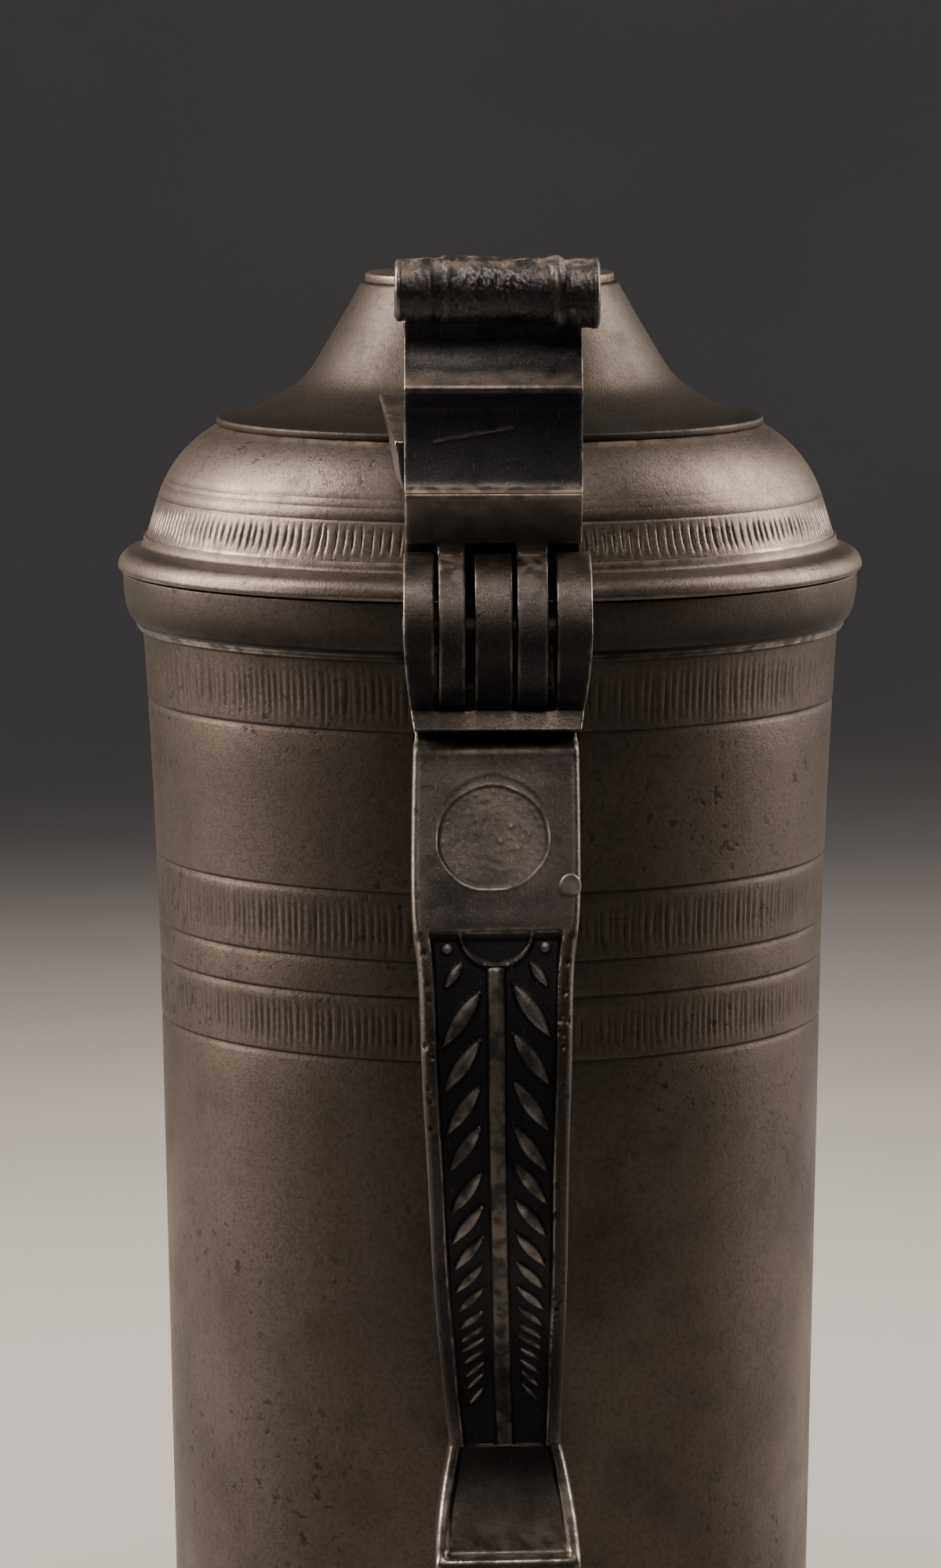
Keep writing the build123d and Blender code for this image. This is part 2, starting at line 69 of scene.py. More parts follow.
def turn(name, outline, steps, smooth_angle=40):
    """Spins an outline of (radius, height) points, in millimetres, about the flagon's axis.
    A quarter is spun and the rest mirrored, because a spin of many steps is slow."""
    deselect()
    bpy.ops.mesh.primitive_plane_add(size=mm)
    piece = bpy.context.object
    piece.name = name
    bpy.ops.object.mode_set(mode="EDIT")
    bpy.ops.mesh.merge(type="CENTER")
    bpy.ops.transform.translate(value=(outline[0][0] * mm, 0, outline[0][1] * mm))
    for (radius, height), (next_radius, next_height) in zip(outline, outline[1:]):
        move = ((next_radius - radius) * mm, 0, (next_height - height) * mm)
        bpy.ops.mesh.extrude_region_move(TRANSFORM_OT_translate={"value": move})
    bpy.ops.mesh.select_all(action="SELECT")
    bpy.ops.mesh.spin(steps=steps // 4, angle=math.pi / 2, center=(0, 0, 0), axis=(0, 0, 1))
    bpy.ops.object.mode_set(mode="OBJECT")
    mirror = piece.modifiers.new("other_quarters", "MIRROR")
    mirror.use_axis = (True, True, False)
    mirror.merge_threshold = mm / 1000
    bpy.ops.object.modifier_apply(modifier=mirror.name)
    bpy.ops.object.mode_set(mode="EDIT")
    bpy.ops.mesh.select_all(action="SELECT")
    bpy.ops.mesh.remove_doubles(threshold=mm / 1000)
    bpy.ops.mesh.normals_make_consistent(inside=False)
    bpy.ops.object.mode_set(mode="OBJECT")
    bpy.ops.object.shade_smooth_by_angle(angle=math.radians(smooth_angle))
    return piece


def soften(points, parts=4):
    """An outline whose points may have a third number: how far back from the corner its rounding starts."""
    line = []
    for index, point in enumerate(points):
        here = Vector(point[:2])
        if len(point) == 2:
            line.append(tuple(here))
            continue
        back = (Vector(points[index - 1][:2]) - here).normalized() * point[2]
        ahead = (Vector(points[(index + 1) % len(points)][:2]) - here).normalized() * point[2]
        for part in range(parts + 1):
            share = part / parts
            line.append(tuple(here + back * (1 - share) ** 2 + ahead * share**2))
    return line


# %% Floor
bowl_radius = 2200
bowl_height = 1800
bowl_bend = 900
floor_level = -0.05
bowl_line = [(0, floor_level), (bowl_radius, floor_level, bowl_bend), (bowl_radius, bowl_height)]
floor = turn("floor", soften(bowl_line, parts=16), steps=96)
if floor.data.polygons[0].normal.z < 0:
    bpy.ops.object.mode_set(mode="EDIT")
    bpy.ops.mesh.flip_normals()
    bpy.ops.object.mode_set(mode="OBJECT")
print("floor:", len(floor.data.polygons), "faces")

# %% [markdown]
# ## Camera and light
# The photograph was taken with a long lens from just above the lid. The turned lines on the drum show as
# ellipses, and their flatness gives the angle. Two large soft lights hang to the left and right, above
# the lid, and leave the side towards the camera dim, which is why the handle looks almost black. Two weak
# ones at the back edge the drum, and two small ones in front and overhead lift the ledges and the stamp.

# %% Camera
photo_size = (1200, 2000)
focal_pixels = 8000
sensor = 36
camera_place = (-13.6, -940.2, 279.8)
camera_turn = (82.57, 0.1, -0.66)
bpy.ops.object.camera_add(
    location=Vector(camera_place) * mm,
    rotation=[math.radians(angle) for angle in camera_turn],
)
camera = bpy.context.object
camera.data.sensor_width = sensor
camera.data.lens = sensor * focal_pixels / max(photo_size)
bpy.context.scene.camera = camera
print("lens:", camera.data.lens, "mm")


# %% Lights
warm = (1.0, 0.88, 0.79)


def soft_light(name, place, aim, size, power, spread):
    """An oblong area light that points at a place. Places and sizes in metres."""
    facing = (Vector(aim) - Vector(place)).to_track_quat("-Z", "Y").to_euler()
    bpy.ops.object.light_add(type="AREA", location=place, rotation=facing)
    light = bpy.context.object
    light.name = name
    light.data.shape = "RECTANGLE"
    light.data.size, light.data.size_y = size
    light.data.energy = power
    light.data.spread = math.radians(spread)
    light.data.color = warm
    light.visible_camera = False
    print(name, power, "W")


lid_middle = (0, 0, 0.2)
behind_lid = (0, 0.25, 0.2)
tall = (0.42, 1.0)
square = (0.6, 0.6)
small = (0.35, 0.35)
soft_light("light_left", (-0.93, 0.19, 0.68), behind_lid, tall, power=7.1, spread=75)
soft_light("light_right", (0.88, 0.37, 0.62), behind_lid, tall, power=4.3, spread=75)
soft_light("back_left", (-0.95, 0.85, 0.45), lid_middle, square, power=0.28, spread=100)
soft_light("back_right", (0.95, 0.85, 0.45), lid_middle, square, power=0.5, spread=100)
soft_light("front_top", (0, -0.82, 0.94), (0, 0.04, 0.19), small, power=0.07, spread=30)
soft_light("overhead", (0, -0.45, 1.2), (0, 0.1, 0.2), small, power=0.22, spread=30)
world = bpy.data.worlds.new("studio")
world.use_nodes = True
world.node_tree.nodes["Background"].inputs["Color"].default_value = (0.15, 0.148, 0.16, 1)
bpy.context.scene.world = world

# %% [markdown]
# ## Finishes
# Old pewter is never one grey. It has brown clouds, small dark pits where it has corroded, a fine grain,
# and bright places where hands have polished the edges. Several materials share these effects, so each
# effect is a node group that is built once. All of them read Object coordinates, which are metres here,
# so a scale of 100 gives features about a centimetre wide.


# %% Node helpers
def new_group(name, inputs, outputs):
    """A shader group with named sockets. Inputs are (name, kind, value), outputs are (name, kind)."""
    group = bpy.data.node_groups.new(name, "ShaderNodeTree")
    for label, kind, value in inputs:
        socket = group.interface.new_socket(label, in_out="INPUT", socket_type="NodeSocket" + kind)
        socket.default_value = value
    for label, kind in outputs:
        group.interface.new_socket(label, in_out="OUTPUT", socket_type="NodeSocket" + kind)
    return group, group.nodes.new("NodeGroupInput").outputs, group.nodes.new("NodeGroupOutput").inputs


def put(tree, socket, value):
    """Links a value to a socket if it comes from a node, and otherwise sets it."""
    if isinstance(value, bpy.types.NodeSocket):
        tree.links.new(value, socket)
    else:
        socket.default_value = value


def grain(tree, scale, detail=3.0, stretch=(1, 1, 1), turn_by=(0, 0, 0)):
    """A noise between 0 and 1 over the piece."""
    place = tree.nodes.new("ShaderNodeTexCoord")
    mapping = tree.nodes.new("ShaderNodeMapping")
    mapping.inputs["Scale"].default_value = stretch
    mapping.inputs["Rotation"].default_value = [math.radians(angle) for angle in turn_by]
    texture = tree.nodes.new("ShaderNodeTexNoise")
    texture.inputs["Scale"].default_value = scale
    texture.inputs["Detail"].default_value = detail
    tree.links.new(place.outputs["Object"], mapping.inputs["Vector"])
    tree.links.new(mapping.outputs["Vector"], texture.inputs["Vector"])
    return texture.outputs["Fac"]


def between(tree, value, low, high, to_low=0.0, to_high=1.0):
    """Spreads the values from low to high over a new range, with soft ends."""
    spread = tree.nodes.new("ShaderNodeMapRange")
    spread.interpolation_type = "SMOOTHSTEP"
    for label, number in (
        ("Value", value),
        ("From Min", low),
        ("From Max", high),
        ("To Min", to_low),
        ("To Max", to_high),
    ):
        put(tree, spread.inputs[label], number)
    return spread.outputs["Result"]


def reckon(tree, operation, first, second):
    step = tree.nodes.new("ShaderNodeMath")
    step.operation = operation
    put(tree, step.inputs[0], first)
    put(tree, step.inputs[1], second)
    return step.outputs[0]


def blend_colour(tree, share, first, second):
    mix = tree.nodes.new("ShaderNodeMix")
    mix.data_type = "RGBA"
    put(tree, mix.inputs["Factor"], share)
    put(tree, mix.inputs["A"], first)
    put(tree, mix.inputs["B"], second)
    return mix.outputs["Result"]


# %% Tarnish group
tarnish, given, out = new_group(
    "tarnish",
    [
        ("Bright Metal", "Color", (0.5, 0.46, 0.41, 1)),
        ("Dull Metal", "Color", (0.3, 0.26, 0.22, 1)),
        ("Deposit", "Color", (0.05, 0.045, 0.045, 1)),
        ("Deposit Amount", "Float", 0.5),
        ("Pit Amount", "Float", 0.5),
        ("Polish", "Float", 0.35),
    ],
    [("Color", "Color"), ("Roughness", "Float"), ("Height", "Float")],
)
clouds = between(tarnish, grain(tarnish, 45, 6), 0.36, 0.66)
patches = between(tarnish, grain(tarnish, 140, 6), 0.5, 0.72)
clusters = between(tarnish, grain(tarnish, 42, 3), 0.46, 0.62)
pits = reckon(tarnish, "MULTIPLY", between(tarnish, grain(tarnish, 620, 2), 0.6, 0.7), clusters)
skin = grain(tarnish, 3200, 3)
patch_share = reckon(tarnish, "MULTIPLY", patches, given["Deposit Amount"])
pit_share = reckon(tarnish, "MULTIPLY", pits, given["Pit Amount"])
metal = blend_colour(tarnish, clouds, given["Bright Metal"], given["Dull Metal"])
mottle = between(tarnish, grain(tarnish, 1400, 4), 0.42, 0.68, 0.0, 0.28)
metal = blend_colour(tarnish, mottle, metal, given["Deposit"])
metal = blend_colour(tarnish, patch_share, metal, given["Deposit"])
put(tarnish, out["Color"], blend_colour(tarnish, pit_share, metal, given["Deposit"]))
rough = reckon(tarnish, "ADD", given["Polish"], between(tarnish, clouds, 0, 1, 0, 0.09))
rough = reckon(tarnish, "ADD", rough, between(tarnish, patch_share, 0, 1, 0, 0.25))
put(tarnish, out["Roughness"], reckon(tarnish, "ADD", rough, between(tarnish, skin, 0.35, 0.7, 0, 0.08)))
height = reckon(tarnish, "SUBTRACT", between(tarnish, skin, 0.3, 0.7, 0, 0.3), pit_share)
sunk = between(tarnish, patch_share, 0, 1, 0, 0.3)
put(tarnish, out["Height"], reckon(tarnish, "SUBTRACT", height, sunk))
print("tarnish:", len(tarnish.nodes), "nodes")

# %% Edge group
edges, given, out = new_group(
    "rubbed_edges",
    [
        ("Edge Start", "Float", 0.02),
        ("Edge End", "Float", 0.12),
        ("Recess End", "Float", -0.12),
        ("Dust Amount", "Float", 0.0),
        ("Grime Amount", "Float", 0.0),
    ],
    [("Edge", "Float"), ("Recess And Shade", "Float"), ("Dust", "Float")],
)


def marked(tree, name):
    """A value that is stored on the piece's own points."""
    attribute = tree.nodes.new("ShaderNodeAttribute")
    attribute.attribute_name = name
    return attribute.outputs["Fac"]


rub = between(edges, grain(edges, 380, 4), 0.36, 0.62, 0.15, 1.0)
edge_mask = between(edges, marked(edges, "wear"), given["Edge Start"], given["Edge End"])
put(edges, out["Edge"], reckon(edges, "MULTIPLY", edge_mask, rub))
crease = between(edges, marked(edges, "wear"), -0.01, given["Recess End"])
# Painted shade: faces that turn down are darkened, by an amount each finish gives.
faces_down = between(edges, marked(edges, "upward"), 0.2, -0.6)
painted_underside_shade = reckon(edges, "MULTIPLY", faces_down, given["Grime Amount"])
# The marked values are real dirt in hollows on some pieces and painted shade on others.
hollow_dirt_and_shade = reckon(edges, "MAXIMUM", crease, marked(edges, "dirt_and_shade"))
put(edges, out["Recess And Shade"], reckon(edges, "MAXIMUM", hollow_dirt_and_shade, painted_underside_shade))
corner = between(edges, marked(edges, "wear"), 0.0, -0.06, 0.55, 1.0)
settled = reckon(edges, "MULTIPLY", between(edges, marked(edges, "upward"), 0.45, 0.9), corner)
settled = reckon(edges, "MULTIPLY", settled, given["Dust Amount"])
settled = reckon(edges, "MULTIPLY", settled, rub)
# The tan marked on the pieces is settled dust, and on the lid's hinge block partly painted light.
silt_and_painted_light = reckon(edges, "MULTIPLY", marked(edges, "silt_and_light"), between(edges, rub, 0, 1, 0.5, 1.0))
put(edges, out["Dust"], reckon(edges, "MAXIMUM", settled, silt_and_painted_light))
print("rubbed_edges:", len(edges.nodes), "nodes")

# %% Tool marks group
tool_marks, given, out = new_group(
    "tool_marks",
    [("Scratch Amount", "Float", 0.5)],
    [("Height", "Float"), ("Scratch", "Float")],
)
ring_noise = grain(tool_marks, 1, 2, (8, 8, 900))
long_scratch = grain(tool_marks, 1, 1, (2600, 2600, 130), (9, 24, 0))
thin = between(tool_marks, long_scratch, 0.7, 0.76)
scratch = reckon(tool_marks, "MULTIPLY", thin, given["Scratch Amount"])
put(tool_marks, out["Scratch"], scratch)
put(tool_marks, out["Height"], reckon(tool_marks, "SUBTRACT", ring_noise, scratch))
print("tool_marks:", len(tool_marks.nodes), "nodes")

# %% [markdown]
# ## One recipe, seven finishes
# The drum is a dull brown pewter, the lid's rim and shoulder are paler, and its bell is darker, as painted
# shade that dims its highlights. The handle and thumbpiece are dark castings, darkened and cooled further as
# painted shade and reflection, with bright rubbed edges, the pin is iron, and the drop is plain solder.
# Painting each by hand would never match, so one function builds them all from their own amounts.


# %% Pewter recipe
def placed(tree, group, **values):
    made = tree.nodes.new("ShaderNodeGroup")
    made.node_tree = group
    for label, value in values.items():
        put(tree, made.inputs[label.replace("_", " ")], value)
    return made.outputs


def pewter(
    name, bright, dull, polish, deposit, pits, edge, recess, scratches, speckle=0.0, dust=0.0, underside_shade=0.0
):
    """A worn metal. edge and recess say how far rubbed edges lighten it and hollows, marked dirt and painted
    shade darken it. The last amount paints shade on faces that turn down.
    """
    material = bpy.data.materials.new(name)
    material.use_nodes = True
    tree = material.node_tree
    shader = tree.nodes["Principled BSDF"]
    # Deposit and painted shade share this colour; its slight blue stands in for the cool reflections in
    # shaded parts.
    dark = (0.02, 0.021, 0.026, 1)
    rubbed = (0.5, 0.455, 0.4, 1)
    # The dust colour is also laid on as painted light where a shaded face is lifted.
    dust_and_light_colour = (0.42, 0.345, 0.27, 1)
    base = placed(
        tree,
        tarnish,
        Bright_Metal=(*bright, 1),
        Dull_Metal=(*dull, 1),
        Deposit=dark,
        Deposit_Amount=deposit,
        Pit_Amount=pits,
        Polish=polish,
    )
    # These outputs hold rubbed wear, dirt with painted shade, and dust with painted light.
    worn = placed(tree, edges, Dust_Amount=dust, Grime_Amount=underside_shade)
    marks = placed(tree, tool_marks, Scratch_Amount=scratches)
    specks = between(tree, grain(tree, 4200, 2), 0.58, 0.76, 0, speckle)
    colour = blend_colour(tree, specks, base["Color"], rubbed)
    colour = blend_colour(tree, reckon(tree, "MULTIPLY", worn["Recess And Shade"], recess), colour, dark)
    colour = blend_colour(tree, reckon(tree, "MULTIPLY", worn["Edge"], edge), colour, rubbed)
    colour = blend_colour(tree, reckon(tree, "MULTIPLY", marks["Scratch"], 0.3), colour, rubbed)
    put(tree, shader.inputs["Base Color"], blend_colour(tree, worn["Dust"], colour, dust_and_light_colour))
    rough = reckon(tree, "ADD", base["Roughness"], between(tree, worn["Recess And Shade"], 0, 1, 0, 0.2))
    rough = reckon(tree, "SUBTRACT", rough, between(tree, worn["Edge"], 0, 1, 0, 0.12))
    rough = reckon(tree, "ADD", rough, between(tree, worn["Dust"], 0, 1, 0, 0.3))
    put(tree, shader.inputs["Roughness"], rough)
    put(tree, shader.inputs["Metallic"], between(tree, worn["Dust"], 0, 1, 1.0, 0.2))
    bump = tree.nodes.new("ShaderNodeBump")
    bump.inputs["Strength"].default_value = 0.35
    bump.inputs["Distance"].default_value = 0.12 * mm
    relief = reckon(tree, "ADD", base["Height"], between(tree, marks["Height"], -1, 1, 0, 0.5))
    put(tree, bump.inputs["Height"], relief)
    put(tree, shader.inputs["Normal"], bump.outputs["Normal"])
    return material


vessel_finish = pewter(
    "worn_vessel",
    bright=(0.155, 0.131, 0.106),
    dull=(0.11, 0.093, 0.075),
    polish=0.36, deposit=0.22, pits=0.6, edge=0.22, recess=0.7,
    scratches=0.2,
)
lid_finish = pewter(
    "worn_lid",
    bright=(0.212, 0.182, 0.148),
    dull=(0.148, 0.126, 0.103),
    polish=0.34, deposit=0.3, pits=0.5, edge=0.35, recess=0.6,
    scratches=0.2,
)
# Painted shade: the bell is a darker copy of the lid's pewter, so its highlights stay dim.
bell_finish = pewter(
    "worn_bell",
    bright=(0.077, 0.066, 0.0545),
    dull=(0.051, 0.043, 0.036),
    polish=0.42, deposit=0.3, pits=0.5, edge=0.35, recess=0.6,
    scratches=0.2,
)
# Partly patina, partly painted shade: this pewter is darker than the drum's, standing in for the dark
# surroundings the handle reflects.
handle_finish = pewter(
    "worn_handle",
    bright=(0.12, 0.104, 0.088),
    dull=(0.075, 0.066, 0.058),
    polish=0.34, deposit=0.4, pits=0.6, edge=0.55, recess=0.9,
    scratches=0.3, speckle=0.25, dust=0.3, underside_shade=0.85,
)
# Painted reflection: this pewter is darker and cooler, standing in for the dark, bluish surroundings the
# thumbpiece reflects.
thumb_finish = pewter(
    "worn_thumbpiece",
    bright=(0.09, 0.086, 0.086),
    dull=(0.05, 0.05, 0.053),
    polish=0.38, deposit=0.5, pits=0.6, edge=0.45, recess=0.8,
    scratches=0.5, speckle=0.3, dust=0.85, underside_shade=0.2,
)
iron_finish = pewter(
    "worn_iron",
    bright=(0.1, 0.09, 0.08),
    dull=(0.06, 0.05, 0.045),
    polish=0.5, deposit=0.6, pits=0.8, edge=0.6, recess=0.8,
    scratches=0.5,
)
solder_finish = pewter(
    "worn_solder",
    bright=(0.4, 0.375, 0.34),
    dull=(0.28, 0.26, 0.235),
    polish=0.42, deposit=0.3, pits=0.5, edge=0.8, recess=0.5,
    scratches=0.2,
)
print("finishes:", [material.name for material in bpy.data.materials if material.name.startswith("worn")])

# %% Floor paper
paper = bpy.data.materials.new("floor_paper")
paper.use_nodes = True
tree = paper.node_tree
shader = tree.nodes["Principled BSDF"]
shade = between(tree, grain(tree, 3, 4), 0.3, 0.7)
colour = blend_colour(tree, shade, (0.4, 0.385, 0.37, 1), (0.43, 0.415, 0.4, 1))
put(tree, shader.inputs["Base Color"], colour)
shader.inputs["Roughness"].default_value = 0.9
seen_from_behind = tree.nodes.new("ShaderNodeNewGeometry").outputs["Backfacing"]
put(tree, shader.inputs["Alpha"], reckon(tree, "SUBTRACT", 1.0, seen_from_behind))
floor.data.materials.append(paper)
print("floor paper:", len(tree.nodes), "nodes")

# %% [markdown]
# ## Wear
# What stands proud on an old piece is rubbed bright, and what lies low keeps its dirt. This could be painted
# on, but the shape already tells it: each point is set against a smoothed copy of the piece, and the
# difference is stored on the piece's own points. The finishes read it there, so it stays in any pose.


# %% Points and wear
def read_points(piece):
    points = np.empty(len(piece.data.vertices) * 3)
    piece.data.vertices.foreach_get("co", points)
    return points.reshape(-1, 3) / mm


def write_points(piece, points):
    piece.data.vertices.foreach_set("co", (points * mm).ravel())
    piece.data.update()


def mark_points(piece, name, values):
    attribute = piece.data.attributes.new(name, "FLOAT", "POINT")
    attribute.data.foreach_set("value", values)


def mark_wear(piece, passes):
    """Marks how far each point stands above the smoothed surface round it, in millimetres, and how far
    it faces up. Near neighbours count most, so that long thin faces do no harm."""
    points = read_points(piece)
    ends = np.empty(len(piece.data.edges) * 2, int)
    piece.data.edges.foreach_get("vertices", ends)
    first, second = ends.reshape(-1, 2).T
    count = len(points)
    weight = 1 / np.maximum(np.linalg.norm(points[first] - points[second], axis=1), 0.05) ** 2
    whole = np.maximum(np.bincount(first, weight, count) + np.bincount(second, weight, count), 1e-9)
    smoothed = points.copy()
    for _ in range(passes):
        for axis in range(3):
            total = np.bincount(first, weight * smoothed[second, axis], count)
            total += np.bincount(second, weight * smoothed[first, axis], count)
            smoothed[:, axis] = (smoothed[:, axis] + total / whole) / 2
    normals = np.empty(count * 3)
    piece.data.vertices.foreach_get("normal", normals)
    normals = normals.reshape(-1, 3)
    mark_points(piece, "wear", np.sum((points - smoothed) * normals, axis=1))
    mark_points(piece, "upward", normals[:, 2])


def dress(piece, node, body, finish, passes=12):
    """Gives a piece its wear and finish and puts it in the place of its CAD node."""
    mark_wear(piece, passes)
    piece.data.materials.clear()
    piece.data.materials.append(finish)
    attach(piece, body)
    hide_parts(node)
    print(piece.name, len(piece.data.vertices), "points, for", node)


# %% [markdown]
# ## The drum
# The drum is a cast wall, skimmed on a lathe. Five incised lines and three rings of hand-cut strokes run
# round it. The section is spun in many steps, so that each stroke has a few points across it, and then
# the strokes are pressed in by moving those points, as a graver would. Old dirt is marked in the lines, and
# a band of painted shade just under the collar.

# %% Drum section
seat = 190.0
wall = 2.6
foot_top = 15.0
base_lift = 6.0
waist_height = 125.0
waist_radius = 49.85
foot_radius = 47.9
mouth_radius = 52.8
collar_foot = 182.0


def drum_radius(height):
    taper = (waist_radius - foot_radius) / (waist_height - foot_top)
    flare_height = seat - waist_height
    flare = (mouth_radius - waist_radius - taper * flare_height) / flare_height**2
    rise = height - waist_height
    return waist_radius + taper * rise + flare * np.maximum(rise, 0) ** 2


incised_lines = [seat - drop for drop in (19.0, 42.4, 52.4, 57.7, 67.0)]
line_depth = 0.17
line_edge = 0.22
line_flank = 1.0
hatched_bands = [(171.6, 181.0), (138.2, 147.0), (123.6, 131.8)]
heights = {base_lift, foot_top, 30.0, 50.0, 70.0, 90.0, 105.0, 115.0, 156.0, 163.0, 181.1, collar_foot}
for line in incised_lines:
    heights.update((line + 2 * line_edge, line + line_edge, line))
    heights.update((line - 0.25 * line_flank, line - 0.6 * line_flank, line - line_flank))
for low, high in hatched_bands:
    heights.update(np.linspace(low, high, 8))


def line_cut(height):
    """How deep the incised lines are at a height: each has a steep upper edge and a long lower flank."""
    cut = 0.0
    for line in incised_lines:
        rise = (height - line) / (line_edge if height > line else -line_flank)
        cut = max(cut, line_depth * (1 - rise))
    return cut


outer_wall = [(drum_radius(height) - line_cut(height), height) for height in sorted(heights)]
bead_radius = mouth_radius + 0.1
bead = [(bead_radius, collar_foot - 0.5), (bead_radius, collar_foot)]
inner_heights = (seat - 8, 170, 150, 125, 60, foot_top, base_lift)
inner_wall = [(drum_radius(height) - wall, height) for height in inner_heights]
drum_section = [*outer_wall[:-1], *bead, (mouth_radius, collar_foot + 0.5), (mouth_radius, seat)]
drum_section += [(mouth_radius - wall, seat), *inner_wall, outer_wall[0]]
drum_strokes = 280
drum_steps = 4 * drum_strokes
drum = turn("drum_wall", drum_section, drum_steps)
print("drum:", len(drum.data.polygons), "faces from", len(drum_section), "points")


# %% Strokes
def ease(value):
    """A soft step from 0 to 1."""
    share = np.clip(value, 0, 1)
    return share * share * (3 - 2 * share)


def hatch(piece, low, high, count, depth, seed, inside_of, evenness=0.3, widths=(0.12, 0.24)):
    """Presses a ring of uneven upright strokes into a turned wall, between two heights."""
    random = np.random.default_rng(seed)
    shift = random.normal(0, 0.15 * (1 - evenness), count)
    strength = random.uniform(evenness, 1.0, count)
    lean = random.normal(0.0, 0.025, count)
    width = random.uniform(*widths, count)
    reach = high - low
    tops = high - reach * random.uniform(0.0, 0.1, count)
    bottoms = low + reach * random.uniform(0.0, 0.15, count)
    points = read_points(piece)
    radius = np.hypot(points[:, 0], points[:, 1])
    height = points[:, 2]
    place = np.arctan2(points[:, 1], points[:, 0]) / (2 * math.pi) * count
    stroke = np.round(place).astype(int) % count
    across = place - np.round(place) - shift[stroke] - lean[stroke] * (height - low)
    fade = ease((tops[stroke] - height) / (0.35 * reach)) * ease((height - bottoms[stroke]) / (0.2 * reach))
    cut = depth * strength[stroke] * np.exp(-((across / width[stroke]) ** 2)) * fade
    cut = np.where(radius > inside_of(height), cut, 0)
    points[:, :2] *= (1 - cut / np.maximum(radius, 1))[:, None]
    write_points(piece, points)
    print(piece.name, count, "strokes from", round(low, 1), "to", round(high, 1))


def drum_middle(height):
    return drum_radius(height) - wall / 2


band_seeds = (3, 5, 8)
stroke_depth = 0.2
for (low, high), seed in zip(hatched_bands, band_seeds):
    hatch(drum, low, high, drum_strokes, stroke_depth, seed, drum_middle, evenness=0.65, widths=(0.16, 0.28))
drum_heights = read_points(drum)[:, 2]
# Painted shade: a dark band just under the collar's overhang. The incised lines hold real dirt.
drum_dirt_and_shade = 0.75 * ease((drum_heights - collar_foot + 1.2) / 0.5)
for line in incised_lines:
    drum_dirt_and_shade = np.maximum(drum_dirt_and_shade, ease(1.5 - abs(drum_heights - line - line_edge / 2) / line_edge))
mark_points(drum, "dirt_and_shade", drum_dirt_and_shade)
dress(drum, "drum", "vessel", vessel_finish)

# %% [markdown]
# ## Collar, foot and lid
# The other turned pieces are spun in the same way from short sections with softened corners. The lid's
# shoulder has its own ring of strokes under a turned line, with two finer lines above that are worn off at
# the right. The bell is one smooth sweep. A lathe would leave such curves, and a few points give each.

# %% Collar and foot ring
collar_radius = 55.1
collar_lip = mouth_radius + 0.4
collar_round_low = collar_foot + 0.8
collar_round_high = seat - 1.4
collar_swell = collar_radius - collar_lip
collar_rise = collar_round_high - collar_round_low
collar_round = []
for angle in np.linspace(-math.pi / 2, 0, 13):
    height = collar_round_high + collar_rise * math.sin(angle)
    collar_round.append((collar_lip + collar_swell * math.cos(angle), height))
collar_section = [(mouth_radius, collar_foot), (collar_lip, collar_foot), *collar_round]
collar_section += soften([collar_round[-1], (collar_radius, seat, 0.3), (mouth_radius, seat)])[1:]
collar_section.append((mouth_radius, collar_foot))
turned_passes = 3
collar = turn("mouth_moulding", collar_section, 256)
# Painted shade: the whole collar is darkened, most on its lower side where it turns under.
mark_points(collar, "dirt_and_shade", 0.5 + 0.5 * ease((collar_foot + 5.5 - read_points(collar)[:, 2]) / 4))
dress(collar, "mouth_collar", "vessel", vessel_finish, turned_passes)

foot_out = 55.0
ledge = foot_radius - wall - 2.0
foot_section = soften(
    [
        (ledge, 0),
        (foot_out, 0, 0.4),
        (foot_out, 3.0, 0.6),
        (52.2, 4.3, 1.2),
        (49.3, 8.5, 2.4),
        (foot_radius + 0.5, 13.6, 1.5),
        (foot_radius + 0.5, foot_top, 0.3),
        (foot_radius, foot_top),
        (foot_radius, base_lift),
        (ledge, base_lift, 0.3),
        (ledge, 0),
    ]
)
foot = turn("foot_moulding", foot_section, 256)
dress(foot, "foot_ring", "vessel", vessel_finish, turned_passes)


# %% Smooth curve helper
def smooth_line(points, count):
    """Evenly spread points on a curve that passes through the given ones with the least bending."""
    points = np.array(points, float)
    runs = np.linalg.norm(np.diff(points, axis=0), axis=1)
    slopes = np.diff(points, axis=0) / runs[:, None]
    place = np.concatenate([[0], np.cumsum(runs)])
    last = len(points) - 1
    system = np.eye(last + 1)
    right = np.zeros_like(points)
    for row in range(1, last):
        system[row, row - 1 : row + 2] = runs[row - 1], 2 * (runs[row - 1] + runs[row]), runs[row]
        right[row] = 6 * (slopes[row] - slopes[row - 1])
    bend = np.linalg.solve(system, right)
    wanted = np.linspace(0, place[-1], count)
    run = np.clip(np.searchsorted(place, wanted, side="right") - 1, 0, last - 1)
    length = runs[run][:, None]
    ahead = (wanted - place[run])[:, None] / length
    behind = 1 - ahead
    curve = (behind**3 - behind) * bend[run] + (ahead**3 - ahead) * bend[run + 1]
    return behind * points[run] + ahead * points[run + 1] + curve * length**2 / 6


